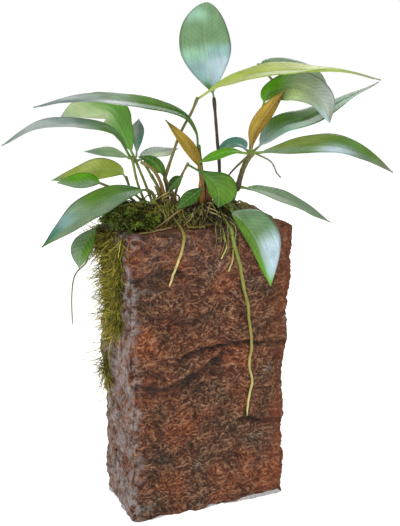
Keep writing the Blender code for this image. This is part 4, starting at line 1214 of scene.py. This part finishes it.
class ANUBIAS_OT_moss(bpy.types.Operator):
    """Build the clump of moss, the curtain that hangs from it and its loose hairs"""
    bl_idname = "anubias.moss"
    bl_label = "Moss"

    def execute(self, context):
        settings = context.scene.anubias_moss
        skin = stone_skin()
        finish = moss_material("fine wet java moss")
        radius = settings.strand / MM
        rings = MOSS_RINGS

        rng = np.random.default_rng(MOSS_SEED)
        count = settings.cushion
        starts, headings, group = cushion_strands(rng, count)
        routes = walk(rng, starts, headings, rng.uniform(1.6, 4.5, count), rings, 0.2, (0, 0, -0.02))
        low = np.array(CUSHION_CENTRE - CUSHION_RADII * 1.2)
        high = np.array(CUSHION_CENTRE + CUSHION_RADII * 1.25) - (0, 0, 3.5)
        routes = np.clip(routes, low, high)
        radii = np.linspace(1.15, 0.45, rings)[None] * radius * rng.uniform(0.8, 1.4, (count, 1))
        tones = strand_tones(rng, group, rings, (settings.dark, settings.green, settings.olive),
                             (0.42, 0.4, 0.18), 0.4)
        add_tubes("fine_moss_cushion", zip(routes, radii, tones), 4, "moss_cushion", "moss", finish)
        heart = finish_mesh("moss_heart", moss_core(settings.dark))
        add_piece("moss_heart", heart, None, "moss", finish)

        count = settings.curtain
        starts = curtain_strands(rng, count, skin)
        headings = rng.normal(0, 0.5, (count, 3)) + (-0.35, 0, -0.9)
        loose = rng.random(count) < 0.05
        headings[loose] += (-0.8, 0, 0.3)
        lengths = np.where(loose, rng.uniform(9, 18, count), rng.uniform(3, 13, count))
        routes = walk(rng, starts, headings, lengths, rings, 0.26, (0.02, 0, -0.16))
        radii = np.linspace(1.0, 0.4, rings)[None] * radius * rng.uniform(0.6, 1.3, (count, 1))
        tones = strand_tones(rng, np.arange(count), rings, (settings.olive, settings.straw, settings.dark,
                                                            settings.green), (0.5, 0.28, 0.12, 0.1), 0.5)
        add_tubes("fine_moss_curtain", zip(routes, radii, tones), 4, "moss_curtain", "moss", finish)
        return {"FINISHED"}


# --- Stage -------------------------------------------------------------------------------------------
def add_light(name, place, target, size, power, colour):
    """A square soft light that looks at a point."""
    data = bpy.data.lights.new(name, "AREA")
    data.size = size
    data.energy = power
    data.color = colour
    lamp = bpy.data.objects.new(name, data)
    lamp.location = place
    lamp.rotation_euler = (Vector(target) - Vector(place)).to_track_quat("-Z", "Y").to_euler()
    bpy.context.scene.collection.objects.link(lamp)
    return lamp


class ANUBIAS_OT_stage(bpy.types.Operator):
    """Set the floor, the white surroundings, the lights and the camera"""
    bl_idname = "anubias.stage"
    bl_label = "Stage"

    def execute(self, context):
        settings = context.scene.anubias_stage
        scene = context.scene
        bm = bmesh.new()
        bmesh.ops.create_grid(bm, x_segments=2, y_segments=2, size=4.0)
        mesh = bpy.data.meshes.new("floor")
        bm.to_mesh(mesh)
        bm.free()
        made, _, shader = new_material("matt white paper floor", roughness=0.9, specular=0.1)
        shader.inputs["Base Color"].default_value = settings.floor
        shader.inputs["Emission Color"].default_value = settings.floor
        shader.inputs["Emission Strength"].default_value = settings.glow
        mesh.materials.append(made)
        floor = bpy.data.objects.new("floor", mesh)
        scene.collection.objects.link(floor)

        world = bpy.data.worlds.new("white surroundings")
        world.use_nodes = True
        tree = world.node_tree
        # White at the horizon, behind the plant, and dimmer overhead, so that the lights can shape it.
        ray = add_node(tree, "TexCoord").outputs["Generated"]
        height = add_node(tree, "SeparateXYZ", {0: ray}).outputs[2]
        fade = add_node(tree, "MapRange", {"Value": height, "From Min": 0.08, "From Max": 0.35,
                                           "To Min": 1.0, "To Max": settings.sky})
        tree.links.new(fade.outputs[0], tree.nodes["Background"].inputs["Strength"])
        tree.nodes["Background"].inputs["Color"].default_value = hex_colour("#FFFFFF")
        scene.world = world
        scene.view_settings.view_transform = "Standard"

        middle = (0.0, 0.0, 0.14)
        add_light("key light", (-0.55, -0.75, 1.0), middle, 0.7, settings.key, (1.0, 0.99, 0.97))
        add_light("back light", (0.5, 0.8, 0.8), middle, 0.5, settings.rim, (0.93, 0.97, 1.0))

        data = bpy.data.cameras.new("camera")
        data.sensor_width = 36.0
        data.lens = settings.lens
        camera = bpy.data.objects.new("camera", data)
        camera.location = settings.eye
        aim = Vector(settings.target) - Vector(settings.eye)
        camera.rotation_euler = aim.to_track_quat("-Z", "Y").to_euler()
        scene.collection.objects.link(camera)
        scene.camera = camera
        return {"FINISHED"}


class ANUBIAS_PT_panel(bpy.types.Panel):
    """The operators and settings in the sidebar"""
    bl_label = "Anubias on stone"
    bl_idname = "ANUBIAS_PT_panel"
    bl_space_type = "VIEW_3D"
    bl_region_type = "UI"
    bl_category = "Plant"

    def draw(self, context):
        for operator, group in STEPS:
            box = self.layout.box()
            box.operator(operator.bl_idname)
            settings = getattr(context.scene, group)
            for key in settings.__annotations__:
                box.prop(settings, key)


STEPS = (
    (ANUBIAS_OT_stage, "anubias_stage"),
    (ANUBIAS_OT_stone, "anubias_stone"),
    (ANUBIAS_OT_stems, "anubias_stems"),
    (ANUBIAS_OT_leaves, "anubias_leaves"),
    (ANUBIAS_OT_roots, "anubias_roots"),
    (ANUBIAS_OT_moss, "anubias_moss"),
)
GROUPS = {
    "anubias_stage": StageSettings,
    "anubias_stone": StoneSettings,
    "anubias_stems": StemSettings,
    "anubias_leaves": LeafSettings,
    "anubias_roots": RootSettings,
    "anubias_moss": MossSettings,
}


def register():
    """Add the settings, the operators and the panel."""
    for key, group in GROUPS.items():
        bpy.utils.register_class(group)
        setattr(bpy.types.Scene, key, bpy.props.PointerProperty(type=group))
    for operator, _ in STEPS:
        bpy.utils.register_class(operator)
    bpy.utils.register_class(ANUBIAS_PT_panel)


def unregister():
    """Take away all that register added."""
    bpy.utils.unregister_class(ANUBIAS_PT_panel)
    for operator, _ in reversed(STEPS):
        bpy.utils.unregister_class(operator)
    for key, group in GROUPS.items():
        delattr(bpy.types.Scene, key)
        bpy.utils.unregister_class(group)


def main():
    """Build everything in order."""
    register()
    bpy.ops.anubias.stage()
    bpy.ops.anubias.stone()
    bpy.ops.anubias.stems()
    bpy.ops.anubias.leaves()
    bpy.ops.anubias.roots()
    bpy.ops.anubias.moss()


if __name__ == "__main__":
    main()
